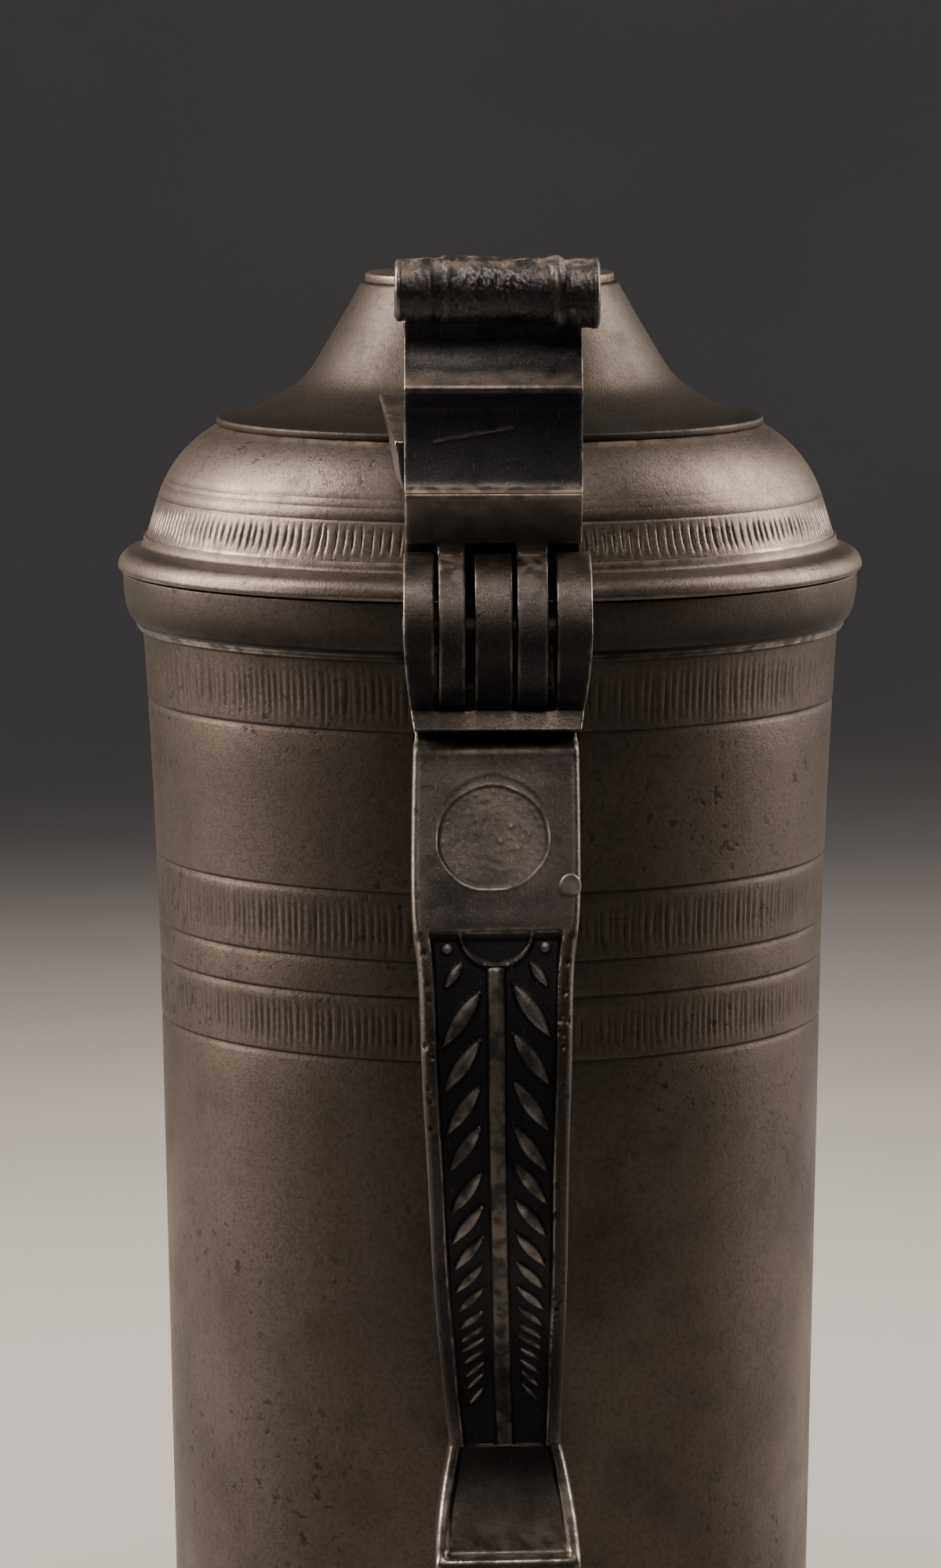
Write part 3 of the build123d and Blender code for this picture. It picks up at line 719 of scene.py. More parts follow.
# %% Lid rim and bezel
lid_low = seat + 0.3
rim_top = seat + 5.4
rim_radius = 55.9
bezel_radius = 49.7
bezel_bore = 47.5
rim_curve = [(55.55, lid_low), (rim_radius - 0.03, 190.7), (55.82, 191.2), (55.58, 191.9), (55.15, 192.5)]
rim_curve += [(54.5, 193.05), (53.6, 193.45), (52.8, 193.8), (52.25, 194.15), (52.05, 194.6)]
rim_curve += [(51.95, rim_top)]
rim_section = [(bezel_bore, lid_low), *[tuple(point) for point in smooth_line(rim_curve, 32)]]
rim_section += [(bezel_bore, rim_top), (bezel_bore, lid_low)]
rim = turn("lid_rim_moulding", rim_section, 256)
hinge_side = (13, -52)
silt_reach = 45


def settle_silt(piece, low, high, inside):
    """Marks old tan dust where a turned piece meets the one above, thickest beside the hinge."""
    points = read_points(piece)
    from_hinge = np.hypot(abs(points[:, 0]) - hinge_side[0], points[:, 1] - hinge_side[1])
    beside_hinge = ease(1 - from_hinge / silt_reach)
    silt_and_light = ease((points[:, 2] - low) / (high - low)) * (0.25 + 0.55 * beside_hinge)
    mark_points(piece, "silt_and_light", np.where(np.hypot(points[:, 0], points[:, 1]) > inside, silt_and_light, 0))


settle_silt(rim, rim_top - 1.0, rim_top, bezel_bore + 2)
dress(rim, "lid_rim", "lid", lid_finish, turned_passes)
bezel_low = seat - 4.0
bezel_section = soften(
    [
        (bezel_bore, bezel_low, 0.3),
        (bezel_radius, bezel_low, 0.5),
        (bezel_radius, lid_low),
        (bezel_bore, lid_low),
    ]
)
bezel = turn("lid_bezel_ring", [*bezel_section, bezel_section[0]], 256)
dress(bezel, "lid_bezel", "lid", lid_finish, turned_passes)

# %% Lid shoulder
lid_wall = 2.4
shoulder_foot = (51.6, rim_top)
band_top = (49.9, seat + 10.9)
shoulder_top = (40.6, seat + 21.9)


def shoulder_arc(inset, count):
    """The round above the band: an arc that starts along the band's own slope."""
    start = Vector((band_top[0] - inset, band_top[1]))
    end = Vector((shoulder_top[0] - inset, shoulder_top[1]))
    along = (Vector(band_top) - Vector(shoulder_foot)).normalized()
    across = Vector((-along.y, along.x))
    chord = end - start
    arc_radius = chord.length_squared / (2 * chord.dot(across))
    centre = start + across * arc_radius
    sweep = 2 * math.atan2(chord.dot(across), chord.dot(along))
    points = []
    for step in range(count + 1):
        angle = sweep * step / count
        spoke = along * math.sin(angle) - across * math.cos(angle)
        points.append(tuple(centre + spoke * arc_radius))
    return points


band_line = seat + 11.1
fine_lines = (seat + 12.9, seat + 14.1)
fine_width = 0.24
fine_depth = 0.1
dense_arc = np.array(shoulder_arc(0.0, 200))
line_shares = (-1, -0.4, 0, 0.4, 1)
line_rows = [line + fine_width * share for line in (band_line, *fine_lines) for share in line_shares]
upper_rows = np.linspace(band_top[1] + 4.2, shoulder_top[1], 14)
arc_heights = sorted({round(float(height), 3) for height in (*line_rows, *upper_rows)})
band_rows = [
    (shoulder_foot[0] + (band_top[0] - shoulder_foot[0]) * share, rim_top + (band_top[1] - rim_top) * share)
    for share in np.linspace(0, 0.97, 9)
]
arc_rows = []
for height in arc_heights:
    arc_rows.append((float(np.interp(height, dense_arc[:, 1], dense_arc[:, 0])), height))
inner_rows = [(shoulder_foot[0] - lid_wall, rim_top), *shoulder_arc(lid_wall, 10)]
shoulder_section = [*band_rows, *arc_rows, *reversed(inner_rows), band_rows[0]]
shoulder = turn("lid_shoulder_band", shoulder_section, 1800)


def shoulder_middle(height):
    return np.interp(height, *np.array([shoulder_foot, band_top, shoulder_top])[:, ::-1].T) - lid_wall / 2


def press_line(piece, line, strength, inside_of):
    """Presses a fine turned line into a wall. Its strength may change round the wall."""
    points = read_points(piece)
    height = points[:, 2]
    radius = np.hypot(points[:, 0], points[:, 1])
    cut = fine_depth * np.clip(1 - ((height - line) / fine_width) ** 2, 0, 1) * strength(points)
    cut = np.where(radius > inside_of(height), cut, 0)
    points[:, :2] *= (1 - cut / np.maximum(radius, 1))[:, None]
    write_points(piece, points)


def all_round(points):
    return 1.0


def worn_off_right(points):
    return 0.15 + 0.85 * ease((-8 - points[:, 0]) / 28)


press_line(shoulder, band_line, all_round, shoulder_middle)
for line in fine_lines:
    press_line(shoulder, line, worn_off_right, shoulder_middle)
hatch(shoulder, seat + 5.9, seat + 10.7, 225, 0.3, 13, shoulder_middle, evenness=0.7, widths=(0.1, 0.17))
settle_silt(shoulder, shoulder_top[1] - 1.0, shoulder_top[1], shoulder_top[0] - 1)
dress(shoulder, "lid_shoulder", "lid", lid_finish)

# %% Lid bell and cap
step_low = shoulder_top[1]
step_radius = 41.0
bell_low = step_low + 1.1
neck = (19.2, seat + 43.0)
bell_shares = ((0, 0), (0.14, 0.02), (0.395, 0.133), (0.59, 0.277), (0.75, 0.528), (0.89, 0.785), (1, 1))


def bell_points(inset):
    return [
        (step_radius - inset - out * (step_radius - neck[0]), bell_low - inset + up * (neck[1] - bell_low))
        for out, up in bell_shares
    ]


bell_outer = [tuple(point) for point in smooth_line(bell_points(0.0), 44)]
bell_inner = [tuple(point) for point in smooth_line(bell_points(lid_wall), 24) if point[1] > step_low]
step_edge = soften(
    [(30, step_low), (step_radius, step_low, 0.3), (step_radius, bell_low, 0.45), bell_outer[2]]
)
bell_section = [
    (bell_inner[0][0], step_low),
    *step_edge[1:-1],
    *bell_outer[2:-1],
    *soften([bell_outer[-2], (*neck, 0.3), (bell_inner[-1][0], neck[1])])[1:],
    *reversed(bell_inner),
    (bell_inner[0][0], step_low),
]
bell = turn("lid_bell_sweep", bell_section, 256)
dress(bell, "lid_bell", "lid", bell_finish, turned_passes)
cap_low = neck[1]
cap_top = cap_low + 1.5
cap_section = soften(
    [
        (0, cap_low),
        (18.6, cap_low, 0.25),
        (18.6, cap_top, 0.6),
        (16.2, cap_top, 0.3),
        (15.6, cap_top - 0.4, 0.3),
        (14.8, cap_top - 0.1, 0.3),
        (4.0, cap_top - 0.3, 1.0),
        (0, cap_top - 0.2),
    ]
)
cap = turn("lid_cap_button", cap_section, 192)
dress(cap, "lid_cap_disc", "lid", lid_finish, turned_passes)

# %% [markdown]
# ## The handle
# The strap was cast in a mould with a stamp panel at its top and a spray of leaves below. It is lofted: a
# flat grid is wrapped round the strap's section at every step along its curve, and the relief is a height
# for each point of its outer face, the way a mould is carved. Sculpting would do too, but a formula keeps
# the leaves even. The real strap leans and bows sideways a little, so its points are moved to follow that.


# %% Wrapped grid helper
def wrapped(name, places, dirt_and_shade=None):
    """A closed skin from rows of points round a section, in millimetres, with both ends filled."""
    rows, loop = places.shape[:2]
    deselect()
    bpy.ops.mesh.primitive_grid_add(x_subdivisions=loop, y_subdivisions=rows - 1, size=mm)
    piece = bpy.context.object
    piece.name = name
    closed = np.concatenate([places, places[:, :1]], axis=1)
    write_points(piece, closed.reshape(-1, 3))
    if dirt_and_shade is not None:
        mark_points(piece, "dirt_and_shade", np.concatenate([dirt_and_shade, dirt_and_shade[:, :1]], axis=1).ravel())
    bpy.ops.object.mode_set(mode="EDIT")
    bpy.ops.mesh.select_all(action="SELECT")
    bpy.ops.mesh.remove_doubles(threshold=mm / 1000)
    bpy.ops.mesh.fill_holes(sides=0)
    bpy.ops.mesh.select_all(action="SELECT")
    bpy.ops.mesh.normals_make_consistent(inside=False)
    bpy.ops.object.mode_set(mode="OBJECT")
    bpy.ops.object.shade_smooth_by_angle(angle=math.radians(50))
    return piece


# %% Strap curve
pin_out = 67.5
pin_height = 187.6
seam_out = 70.2
seam_height = 173.5
handle_height = seat - 38.0
handle_reach = 37.5
strap_half_width = 11.75
strap_thickness = 5.6
handle_lean = math.radians(0.8)
strap_curve = ((0.194, 0.688), (0.276, 0.869), (0.342, 0.96), (0.395, 1.0), (0.467, 0.992), (0.546, 0.92))
strap_curve += ((0.618, 0.765), (0.678, 0.541), (0.724, 0.307), (0.77, 0.181), (0.803, 0.16), (0.832, 0.187))
strap_widths = ((0.094, 0.98), (0.197, 1.0), (0.263, 0.987), (0.303, 0.928), (0.395, 0.885), (0.5, 0.834))
strap_widths += ((0.59, 0.808), (0.671, 0.774), (0.77, 0.715), (0.803, 0.681))


def handle_z(share):
    return seat - share * handle_height


def handle_point(share, reach):
    return (float(drum_radius(handle_z(share))) + reach * handle_reach, handle_z(share))


def half_width(height, widths):
    shares, parts = smooth_line(widths, 200).T
    return strap_half_width * np.interp((seat - height) / handle_height, shares, parts)


bow_start = 0.2
bow_depth = 0.85
bow_length = 108.0


def leaned(points):
    """Leans a handle piece sideways about its seam and bows it a little, as the real handle is."""
    x, z = points[..., 0].copy(), points[..., 2] - seam_height
    points[..., 0] = x * math.cos(handle_lean) - z * math.sin(handle_lean)
    points[..., 2] = seam_height + z * math.cos(handle_lean) + x * math.sin(handle_lean)
    down = np.clip((seam_height - points[..., 2]) / bow_length, 0, 1)
    points[..., 0] -= bow_start + bow_depth * np.sin(math.pi * down)
    return points


curve_points = [(seam_out - 1, seam_height + 2), (seam_out, seam_height)]
curve_points += [handle_point(*point) for point in strap_curve]
above_seam = 4.0
first_slope = np.array(curve_points[0]) - np.array(curve_points[1])
curve_points[0] = tuple(np.array(curve_points[1]) + first_slope / np.linalg.norm(first_slope) * above_seam)
dense = smooth_line(curve_points, 3000)
lengths = np.concatenate([[0], np.cumsum(np.linalg.norm(np.diff(dense, axis=0), axis=1))])
strap_end = handle_z(strap_curve[-2][0])
end_length = lengths[np.argmin(abs(dense[:, 1] - strap_end))]
seam_length = lengths[np.argmin(abs(dense[:, 1] - seam_height))]
strap_rows = 440
run_places = np.linspace(0, end_length, strap_rows)
centre_line = np.stack([np.interp(run_places, lengths, dense[:, axis]) for axis in (0, 1)], axis=1)
tangent = np.gradient(centre_line, axis=0)
tangent /= np.linalg.norm(tangent, axis=1)[:, None]
outward = np.stack([-tangent[:, 1], tangent[:, 0]], axis=1)
run = (run_places - seam_length)[:, None]
print("strap:", round(end_length - seam_length, 1), "mm long")

# %% Strap relief
stamp_middle = 15.4
stamp_radius = 7.8
panel_start = 28.9
panel_ramp = 1.5
border = 2.2
recess = 1.1
midrib = 1.3
lunette = 5.0
leaf_lean = math.radians(35)
leaf_rows = 16
leaf_start = 12.3
leaf_pitch = 6.75
leaf_closing = 0.13
leaf_length = 9.6
leaf_half = 1.25
stamp_left = 0.45
bead_count = 34
bead_ring = 6.9
lump_count = 220
lump_ring = 6.0
relief_random = np.random.default_rng(21)


def dome(distance, reach):
    """1 at the middle, falling to 0 at reach as a half round does."""
    return np.sqrt(np.clip(1 - (distance / reach) ** 2, 0, 1))


def rounding(edge, radius):
    """How far a face falls near its edge where the edge is rounded."""
    return radius * (1 - dome(np.clip(1 - edge / radius, 0, 1), 1))


def leaf(shape, run, out, middle_run, middle_out, length, half, height):
    """Raises one lens-shaped leaf from the panel's floor."""
    along = (run - middle_run) * math.cos(leaf_lean) + (out - middle_out) * math.sin(leaf_lean)
    across = (out - middle_out) * math.cos(leaf_lean) - (run - middle_run) * math.sin(leaf_lean)
    width = half * np.clip(1 - (2 * along / length) ** 2, 0.0001, 1)
    return np.maximum(shape, height * dome(across, width) * (width > half / 50) - recess)


def stamp_lump(run, x, out, angle, spread):
    """A small soft lump, some way out from the stamp's middle."""
    distance = np.hypot(run - stamp_middle - out * math.cos(angle), x - out * math.sin(angle))
    return np.exp(-((distance / spread) ** 2))


def stamp_relief(run, x):
    """A round stamp, worn beyond reading: a rim, a ring of beads, and a rough floor."""
    x = x + stamp_left
    depth = np.zeros(np.broadcast(run, x).shape)
    for centre, strength in ((stamp_middle - 1.6, 0.4), (stamp_middle, 1.0)):
        distance = np.hypot(run - centre, x)
        round_angle = np.arctan2(run - centre, x)
        swell = 0.012 * np.sin(3 * round_angle + 0.6) + 0.008 * np.sin(7 * round_angle)
        uneven = stamp_radius * (1 + swell)
        inside = ease((uneven - distance) / 0.5)
        rim = 0.09 * np.exp(-(((distance - uneven) / 0.3) ** 2))
        depth = depth * (1 - inside) + strength * (rim - 0.14 * inside)
    for bead in range(bead_count):
        angle = 2 * math.pi * bead / bead_count
        depth += relief_random.uniform(0.02, 0.11) * stamp_lump(run, x, bead_ring, angle, 0.36)
    for lump in range(lump_count):
        angle = relief_random.uniform(0, 2 * math.pi)
        out = lump_ring * math.sqrt(relief_random.uniform(0, 1))
        spread = relief_random.uniform(0.2, 0.45)
        depth += relief_random.uniform(-0.06, 0.065) * stamp_lump(run, x, out, angle, spread)
    return depth


def strap_relief(run, x, half):
    edge = half - abs(x)
    out = abs(x)
    in_panel = ease((run - panel_start) / panel_ramp)
    inner = in_panel * ease((edge - border + 0.2) / 0.5)
    shape = -recess * inner
    distance = np.hypot(run - panel_start, x)
    shape = np.maximum(shape, -recess * inner + 0.15 * ease((lunette - distance) / 0.4) * inner)
    shape = np.maximum(shape, (0.8 * np.exp(-(((distance - lunette) / 0.3) ** 2)) - recess) * inner)
    below_lunette = ease((run - panel_start - lunette) / 0.5)
    shape = np.maximum(shape, (dome(x, midrib) * below_lunette - recess) * inner)
    middle = (midrib + half - border) / 2
    for index in range(leaf_rows):
        place = panel_start + leaf_start + leaf_pitch * index - leaf_closing * index**2
        size = 1 - 0.04 * index
        for side in (-1, 1):
            shift = relief_random.normal(0, 0.25)
            height = 0.9 * size * relief_random.uniform(0.8, 1.0)
            start = place + shift - 0.6 * (side > 0)
            raised = leaf(shape, run, out, start, middle, leaf_length * size, leaf_half * size, height)
            shape = np.where(x * side > 0, raised, shape)
    small = leaf(shape, run, out, panel_start + 6.2, 5.9, 4.6, 0.8, 0.7)
    small = np.maximum(small, 0.5 * dome(np.hypot(run - panel_start - 2.4, out - 6.8), 0.85) - recess)
    shape = np.where(in_panel > 0.5, small, shape)
    shape -= 0.5 * in_panel * np.clip(1 - edge / border, -1, 1) ** 2 * (edge < border)
    shape += (1 - in_panel) * stamp_relief(run, x)
    shape -= 0.2 * ease((run - 3) / 3) * (1 - ease((run - 25) / 3)) * (1 - (x / half) ** 2)
    shape += 0.1 * np.exp(-(((run - 2.9) / 0.6) ** 2))
    shape -= 1.3 * (1 - ease((run - 0.2) / 2.2))
    for pit in range(46):
        place = relief_random.uniform(panel_start + 1, panel_start + 70)
        depth = relief_random.uniform(0.1, 0.4)
        pit_edge = relief_random.uniform(0.6, 1.8)
        side = 1 if pit % 3 else -1
        shape -= depth * np.exp(-(((run - place) / 0.4) ** 2) - ((side * x - half + pit_edge) / 0.35) ** 2)
    return shape - rounding(edge, 0.9)


# %% Strap skin
front_columns = 109
spread = np.linspace(-0.9, 0.9, front_columns) * math.pi / 2
across = np.sin(spread) / np.sin(spread[-1])
strap_half = half_width(centre_line[:, 1], strap_widths)[:, None]
front_x = strap_half * across[None, :]
front_depth = strap_relief(run, front_x, strap_half)
side_depths = np.linspace(-1.6, -5.0, 5)
back_shares = np.linspace(0.95, -0.95, 9)
loop_x = np.concatenate(
    [
        front_x,
        np.repeat(strap_half, len(side_depths), axis=1),
        strap_half * back_shares[None, :],
        -np.repeat(strap_half, len(side_depths), axis=1),
    ],
    axis=1,
)
sides = np.tile(side_depths, (strap_rows, 1))
back = np.full((strap_rows, len(back_shares)), -strap_thickness)
loop_depth = np.concatenate([front_depth, sides, back, sides[:, ::-1]], axis=1)
strap_out = centre_line[:, :1] + outward[:, :1] * loop_depth
strap_z = centre_line[:, 1:] + outward[:, 1:] * loop_depth
strap_dirt_and_shade = np.full(loop_depth.shape, 0.1)
from_edge = strap_half - abs(front_x)
leaf_panel = ease((run - panel_start) / panel_ramp) * ease((from_edge - border) / 0.5)
stamp_panel = ease((panel_start + 1 - run) / panel_ramp) * ease((from_edge - 0.3) / 1.2)
off_stamp = ease((np.hypot(run - stamp_middle, front_x + stamp_left) - stamp_radius) / 0.6)
hollows = ease((-0.25 - front_depth) / (recess - 0.45)) * ease((from_edge - 1.0) / 0.6)
# The leaf panel is darkened as dirt in its recess and as painted shade, which deepens towards the lower end
# where the strap turns down. The stamp panel is darkened less, least on the stamp.
face_dirt_and_shade = (0.74 + 0.16 * ease((run - 70) / 40)) * leaf_panel + (0.35 + 0.15 * off_stamp) * stamp_panel
strap_dirt_and_shade[:, :front_columns] = np.maximum(face_dirt_and_shade, hollows)
strap = wrapped("strap_casting", leaned(np.stack([loop_x, -strap_out, strap_z], axis=2)), strap_dirt_and_shade)
bpy.ops.object.mode_set(mode="EDIT")
bpy.ops.mesh.select_all(action="SELECT")
bpy.ops.mesh.bisect(plane_co=(0, 0, seam_height * mm), plane_no=(0, 0, 1), clear_outer=True, use_fill=True)
bpy.ops.object.mode_set(mode="OBJECT")
print("strap:", len(strap.data.polygons), "faces")
dress(strap, "handle_strap", "vessel", handle_finish)

# %% Terminal
terminal_curve = ((0.803, 0.16), (0.832, 0.187), (0.859, 0.261), (0.882, 0.371), (0.895, 0.464))
terminal_curve += ((0.932, 0.437), (0.97, 0.32), (1.0, 0.0))
terminal_widths = ((0.803, 0.681), (0.845, 0.8), (0.895, 0.885), (0.945, 0.766), (1.0, 0.34))
terminal_rows = 150
terminal_columns = 73
terminal_line = smooth_line([handle_point(*point) for point in terminal_curve], terminal_rows)
terminal_slope = np.gradient(terminal_line, axis=0)
terminal_slope /= np.linalg.norm(terminal_slope, axis=1)[:, None]
terminal_half = half_width(terminal_line[:, 1], terminal_widths)[:, None]
terminal_x = terminal_half * np.linspace(-1, 1, terminal_columns)[None, :]
step = np.linalg.norm(terminal_line[1] - terminal_line[0])
terminal_run = (np.arange(terminal_rows) * step)[:, None]
nose_run = terminal_run[np.argmax(terminal_line[:, 0])]
edge = terminal_half - abs(terminal_x)
floor_depth = 1.1 - 0.7 * ease(terminal_run / 9)
face = 1 - ease((terminal_run - nose_run + 2.6) / 1.2)
terminal_depth = -floor_depth * ease((edge - 1.4) / 0.5) * face
terminal_depth -= 0.4 * np.exp(-(((terminal_run - nose_run + 3.2) / 0.35) ** 2)) * ease((edge - 1.2) / 0.6)
lobes = 0.5 + 0.5 * np.cos(terminal_x * 1.9)
terminal_depth -= 0.5 * lobes * ease((terminal_run - nose_run - 0.8) / 2)
terminal_depth -= rounding(edge, 0.8)
front_out = terminal_line[:, :1] - terminal_slope[:, 1:] * terminal_depth
front_z = terminal_line[:, 1:] + terminal_slope[:, :1] * terminal_depth
bury = 0.8
back_x = terminal_half * np.linspace(1, -1, 5)[None, :]
back_out = np.sqrt((drum_radius(terminal_line[:, 1:]) - bury) ** 2 - back_x**2)
front_out = np.maximum(front_out, np.sqrt((drum_radius(front_z) - bury / 2) ** 2 - terminal_x**2))
back_z = np.repeat(terminal_line[:, 1:], back_x.shape[1], axis=1)
side_shares = np.array([[0.06, 0.2, 0.45, 0.75]])


def closed_loop(front, back):
    """Joins a face and a back into rows that run all round, with a few points down each side."""
    right = front[:, -1:] * (1 - side_shares) + back[:, :1] * side_shares
    left = front[:, :1] * (1 - side_shares) + back[:, -1:] * side_shares
    return np.concatenate([front, right, back, left[:, ::-1]], axis=1)


terminal_places = [
    closed_loop(terminal_x, back_x),
    -closed_loop(front_out, back_out),
    closed_loop(front_z, back_z),
]
terminal_dirt = np.zeros(terminal_places[0].shape)
terminal_dirt[:, :terminal_columns] = 0.3 * face + 0.5 * ease((-0.3 - terminal_depth) / 0.9)
terminal = wrapped("terminal_casting", leaned(np.stack(terminal_places, axis=2)), terminal_dirt)
dress(terminal, "handle_terminal", "vessel", handle_finish)

# %% [markdown]
# ## Hinge and thumbpiece
# These are sturdy castings with flat sides, and wear has rounded all their edges. Their CAD shapes are
# right, so each is copied, merged and remeshed into fine even squares, and a few passes of smoothing take
# the edges off, much as hands and polish did. Bevels would be sharper than the real edges. Then dust is
# marked on the ledges, painted shade on the panel and a left knuckle, and painted light on the saddle and
# the knuckle tops. One scratch is raised where a tool slipped.


# %% Cast copy helper
def cast_copy(node, name, voxel, passes, reshape=None):
    """A copy of a CAD node as a fine even skin with softened edges. Sizes in millimetres."""
    deselect()
    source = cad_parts[node]
    piece = bpy.data.objects.new(name, source.data.copy())
    bpy.context.scene.collection.objects.link(piece)
    piece.select_set(True)
    bpy.context.view_layer.objects.active = piece
    bpy.ops.object.mode_set(mode="EDIT")
    bpy.ops.mesh.select_all(action="SELECT")
    bpy.ops.mesh.remove_doubles(threshold=mm / 500)
    bpy.ops.object.mode_set(mode="OBJECT")
    bpy.ops.mesh.customdata_custom_splitnormals_clear()
    piece.data.remesh_voxel_size = voxel * mm
    bpy.ops.object.voxel_remesh()
    if reshape:
        write_points(piece, reshape(read_points(piece)))
    bpy.ops.object.mode_set(mode="EDIT")
    bpy.ops.mesh.select_all(action="SELECT")
    bpy.ops.mesh.vertices_smooth(factor=0.5, repeat=passes)
    bpy.ops.object.mode_set(mode="OBJECT")
    bpy.ops.object.shade_smooth()
    return piece


# %% Hinge blocks
groove_top = 174.1
groove_depth = 0.6
stem_front = 66.0
left_knuckle = -6.5


def stem_shape(points):
    """Undercuts the block's lower front edge, for the groove above the strap."""
    undercut = groove_depth * ease((groove_top - points[:, 2]) / 0.5)
    points[:, 1] += np.where(points[:, 1] < -stem_front, undercut, 0)
    return points


hinge = cast_copy("handle_hinge_block", "hinge_casting", 0.25, 5, stem_shape)
# Painted shade: the block's outer left knuckle is darkened.
mark_points(hinge, "dirt_and_shade", 0.22 * ease((left_knuckle - read_points(hinge)[:, 0]) / 1.5))
dress(hinge, "handle_hinge_block", "vessel", handle_finish)
lid_hinge = cast_copy("lid_hinge_block", "lid_hinge_casting", 0.27, 5)
ledge_height = 207.3
points = read_points(lid_hinge)
# Painted light: tan on the saddle under the lower ledge, which faces forward and down in shade. Above the
# pin it is partly dust and partly painted light on the knuckles' tops.
painted_saddle_light = 0.25 * ease((points[:, 2] - ledge_height + 4) / 3)
knuckle_dust_and_light = 0.15 * ease((points[:, 2] - pin_height + 2) / 5)
mark_points(lid_hinge, "silt_and_light", (painted_saddle_light + knuckle_dust_and_light) * (points[:, 1] < -pin_out))
dress(lid_hinge, "lid_hinge_block", "lid", thumb_finish)

# %% Thumb plate and buttress
plate = cast_copy("thumbpiece_plate", "thumb_plate_casting", 0.24, 12)
scratch_ends = (Vector((-8.9, 214.2)), Vector((2.5, 216.2)))
scratch_run = scratch_ends[1] - scratch_ends[0]
points = read_points(plate)
from_start = points[:, (0, 2)] - np.array(scratch_ends[0])
along = from_start @ np.array(scratch_run) / scratch_run.length_squared
beside = abs(from_start @ np.array((-scratch_run.y, scratch_run.x))) / scratch_run.length
burr = 0.16 * ease(1 - beside / 0.3) * (along > 0) * (along < 1) * (points[:, 1] < -(pin_out + 1))
points[:, 1] -= burr
write_points(plate, points)
upper_ledge = 222.0
panel_top = 218.8
in_front = points[:, 1] < -pin_out
# Painted shade: the panel between the two ledges is darkened, most near its top.
painted_panel_shade = 0.72 + 0.23 * ease((points[:, 2] - panel_top) / 0.5)
painted_panel_shade *= ease((points[:, 2] - ledge_height - 0.8) / 1.2)
painted_panel_shade *= ease((upper_ledge - 0.4 - points[:, 2]) / 0.6)
mark_points(plate, "dirt_and_shade", painted_panel_shade * in_front)
lower_silt = 0.9 * ease(1.6 - abs(points[:, 2] - ledge_height) / 0.5)
upper_silt = 0.25 * ease(1.6 - abs(points[:, 2] - upper_ledge - 0.4) / 0.6)
mark_points(plate, "silt_and_light", np.maximum(lower_silt, upper_silt) * in_front)
dress(plate, "thumbpiece_plate", "lid", thumb_finish)
buttress = cast_copy("thumbpiece_buttress", "buttress_casting", 0.3, 6)
dress(buttress, "thumbpiece_buttress", "lid", handle_finish)

# %% [markdown]
# ## Thumb roll
# The roll on top is thick, ridged and badly worn, with one end torn. A cylinder with a displace modifier
# would be rough all over alike, so the roll is a wrapped grid with a radius for each place along and round
# it: ridges, hollows and roughness each add their own share.

# %% Thumb roll
roll_radius = 5.05
roll_length = 28.4
roll_out = pin_out + 3.9
roll_height = seat + 45.4
roll_columns = 150
roll_rows = 150
roll_x = np.linspace(-roll_length / 2, roll_length / 2, roll_columns)[:, None]
roll_angle = np.linspace(0, 2 * math.pi, roll_rows, endpoint=False)[None, :]


def ridge(place, width):
    return np.exp(-(((roll_x - place) / width) ** 2))


roughness = np.empty((roll_columns, roll_rows))
for column, x in enumerate(roll_x[:, 0]):
    for row, angle in enumerate(roll_angle[0]):
        spot = Vector((x * 0.9, math.cos(angle) * 1.6, math.sin(angle) * 1.6))
        coarse = noise.noise(spot) + 0.5 * noise.noise(spot * 2.6)
        roughness[column, row] = coarse + 0.4 * noise.noise(spot * 6)
end_distance = roll_length / 2 - abs(roll_x)
worn_middle = ease((8.2 - abs(roll_x + 0.5)) / 1.2)
roll_surface = roll_radius - 0.22 - 0.25 * worn_middle
roll_surface = roll_surface + 0.3 * ridge(-7.1, 0.6) + 0.3 * ridge(8.2, 0.6)
roll_surface = roll_surface - 0.35 * ridge(-8.6, 0.5) - 0.3 * ridge(9.6, 0.5)
roll_surface = roll_surface - (0.16 + 0.12 * worn_middle) * np.abs(roughness)
roll_surface = roll_surface + 0.2 * ridge(-4, 2.5) - 0.25 * ridge(2.5, 2) - 0.6 * ease((-6 - roll_x) / 8)
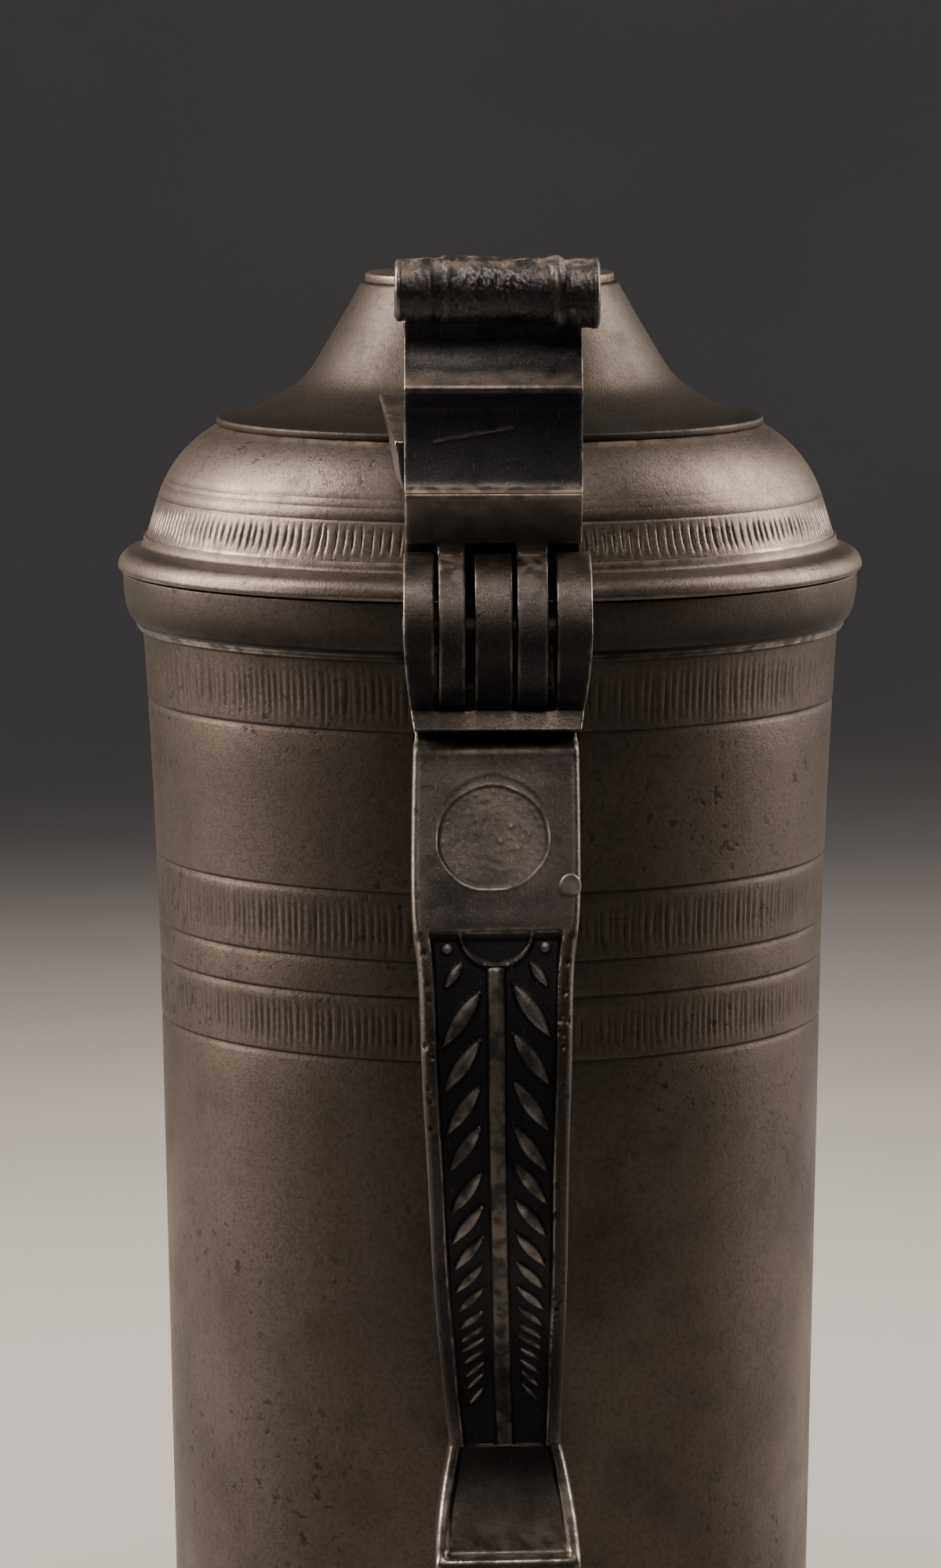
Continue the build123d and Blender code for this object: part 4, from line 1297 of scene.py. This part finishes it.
torn = ridge(11.0, 1.4) * ease((math.pi * 0.25 - abs(roll_angle - math.pi * 0.9)) / 0.12)
roll_surface = roll_surface - 0.3 * torn
roll_surface = roll_surface + 0.15 * ease((1.2 - end_distance) / 0.6)
roll_surface = np.minimum(roll_surface, roll_radius) - rounding(end_distance, 0.7)
roll = wrapped(
    "thumb_roll_casting",
    np.stack(
        [
            np.broadcast_to(roll_x, roll_surface.shape),
            -roll_out + roll_surface * np.cos(roll_angle),
            roll_height - 0.5 * ease((roll_x - 4) / 8) + roll_surface * np.sin(roll_angle),
        ],
        axis=2,
    ),
)
dress(roll, "thumb_roll", "lid", thumb_finish)

# %% [markdown]
# ## Solder drop and hidden pieces
# A drop of solder was left at the strap's edge, where the handle was mended or first joined. A drop that
# sets on a slope is a squashed, tilted ball, so it starts as a sphere. The base plate, the lugs and the pin
# hardly show, and their CAD shapes are right, so they only get a finish.

# %% Solder drop
drop_radius = 1.45
drop_shift = 0.8
drop_shape = (1.05, 0.5, 1.5)
drop_tilt = math.radians(-28)
drop_low, drop_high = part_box("solder_drop")
deselect()
drop_middle = (drop_low + drop_high) / 2 - Vector((drop_shift * mm, 0, 0))
bpy.ops.mesh.primitive_uv_sphere_add(
    segments=48, ring_count=24, radius=drop_radius * mm, location=drop_middle
)
drop = bpy.context.object
drop.name = "solder_bead"
bpy.ops.object.mode_set(mode="EDIT")
bpy.ops.transform.resize(value=drop_shape)
bpy.ops.transform.rotate(value=drop_tilt, orient_axis="X", center_override=drop_middle)
bpy.ops.object.mode_set(mode="OBJECT")
bpy.ops.object.transform_apply(location=True, rotation=True, scale=True)
bpy.ops.object.shade_smooth()
dress(drop, "solder_drop", "vessel", solder_finish)

# %% CAD nodes that stay
for name, finish in (
    ("base_plate", vessel_finish),
    ("upper_handle_lug", handle_finish),
    ("lower_handle_lug", handle_finish),
    ("hinge_pin", iron_finish),
):
    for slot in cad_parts[name].material_slots:
        slot.material = finish
    print(name, "keeps its CAD shape")
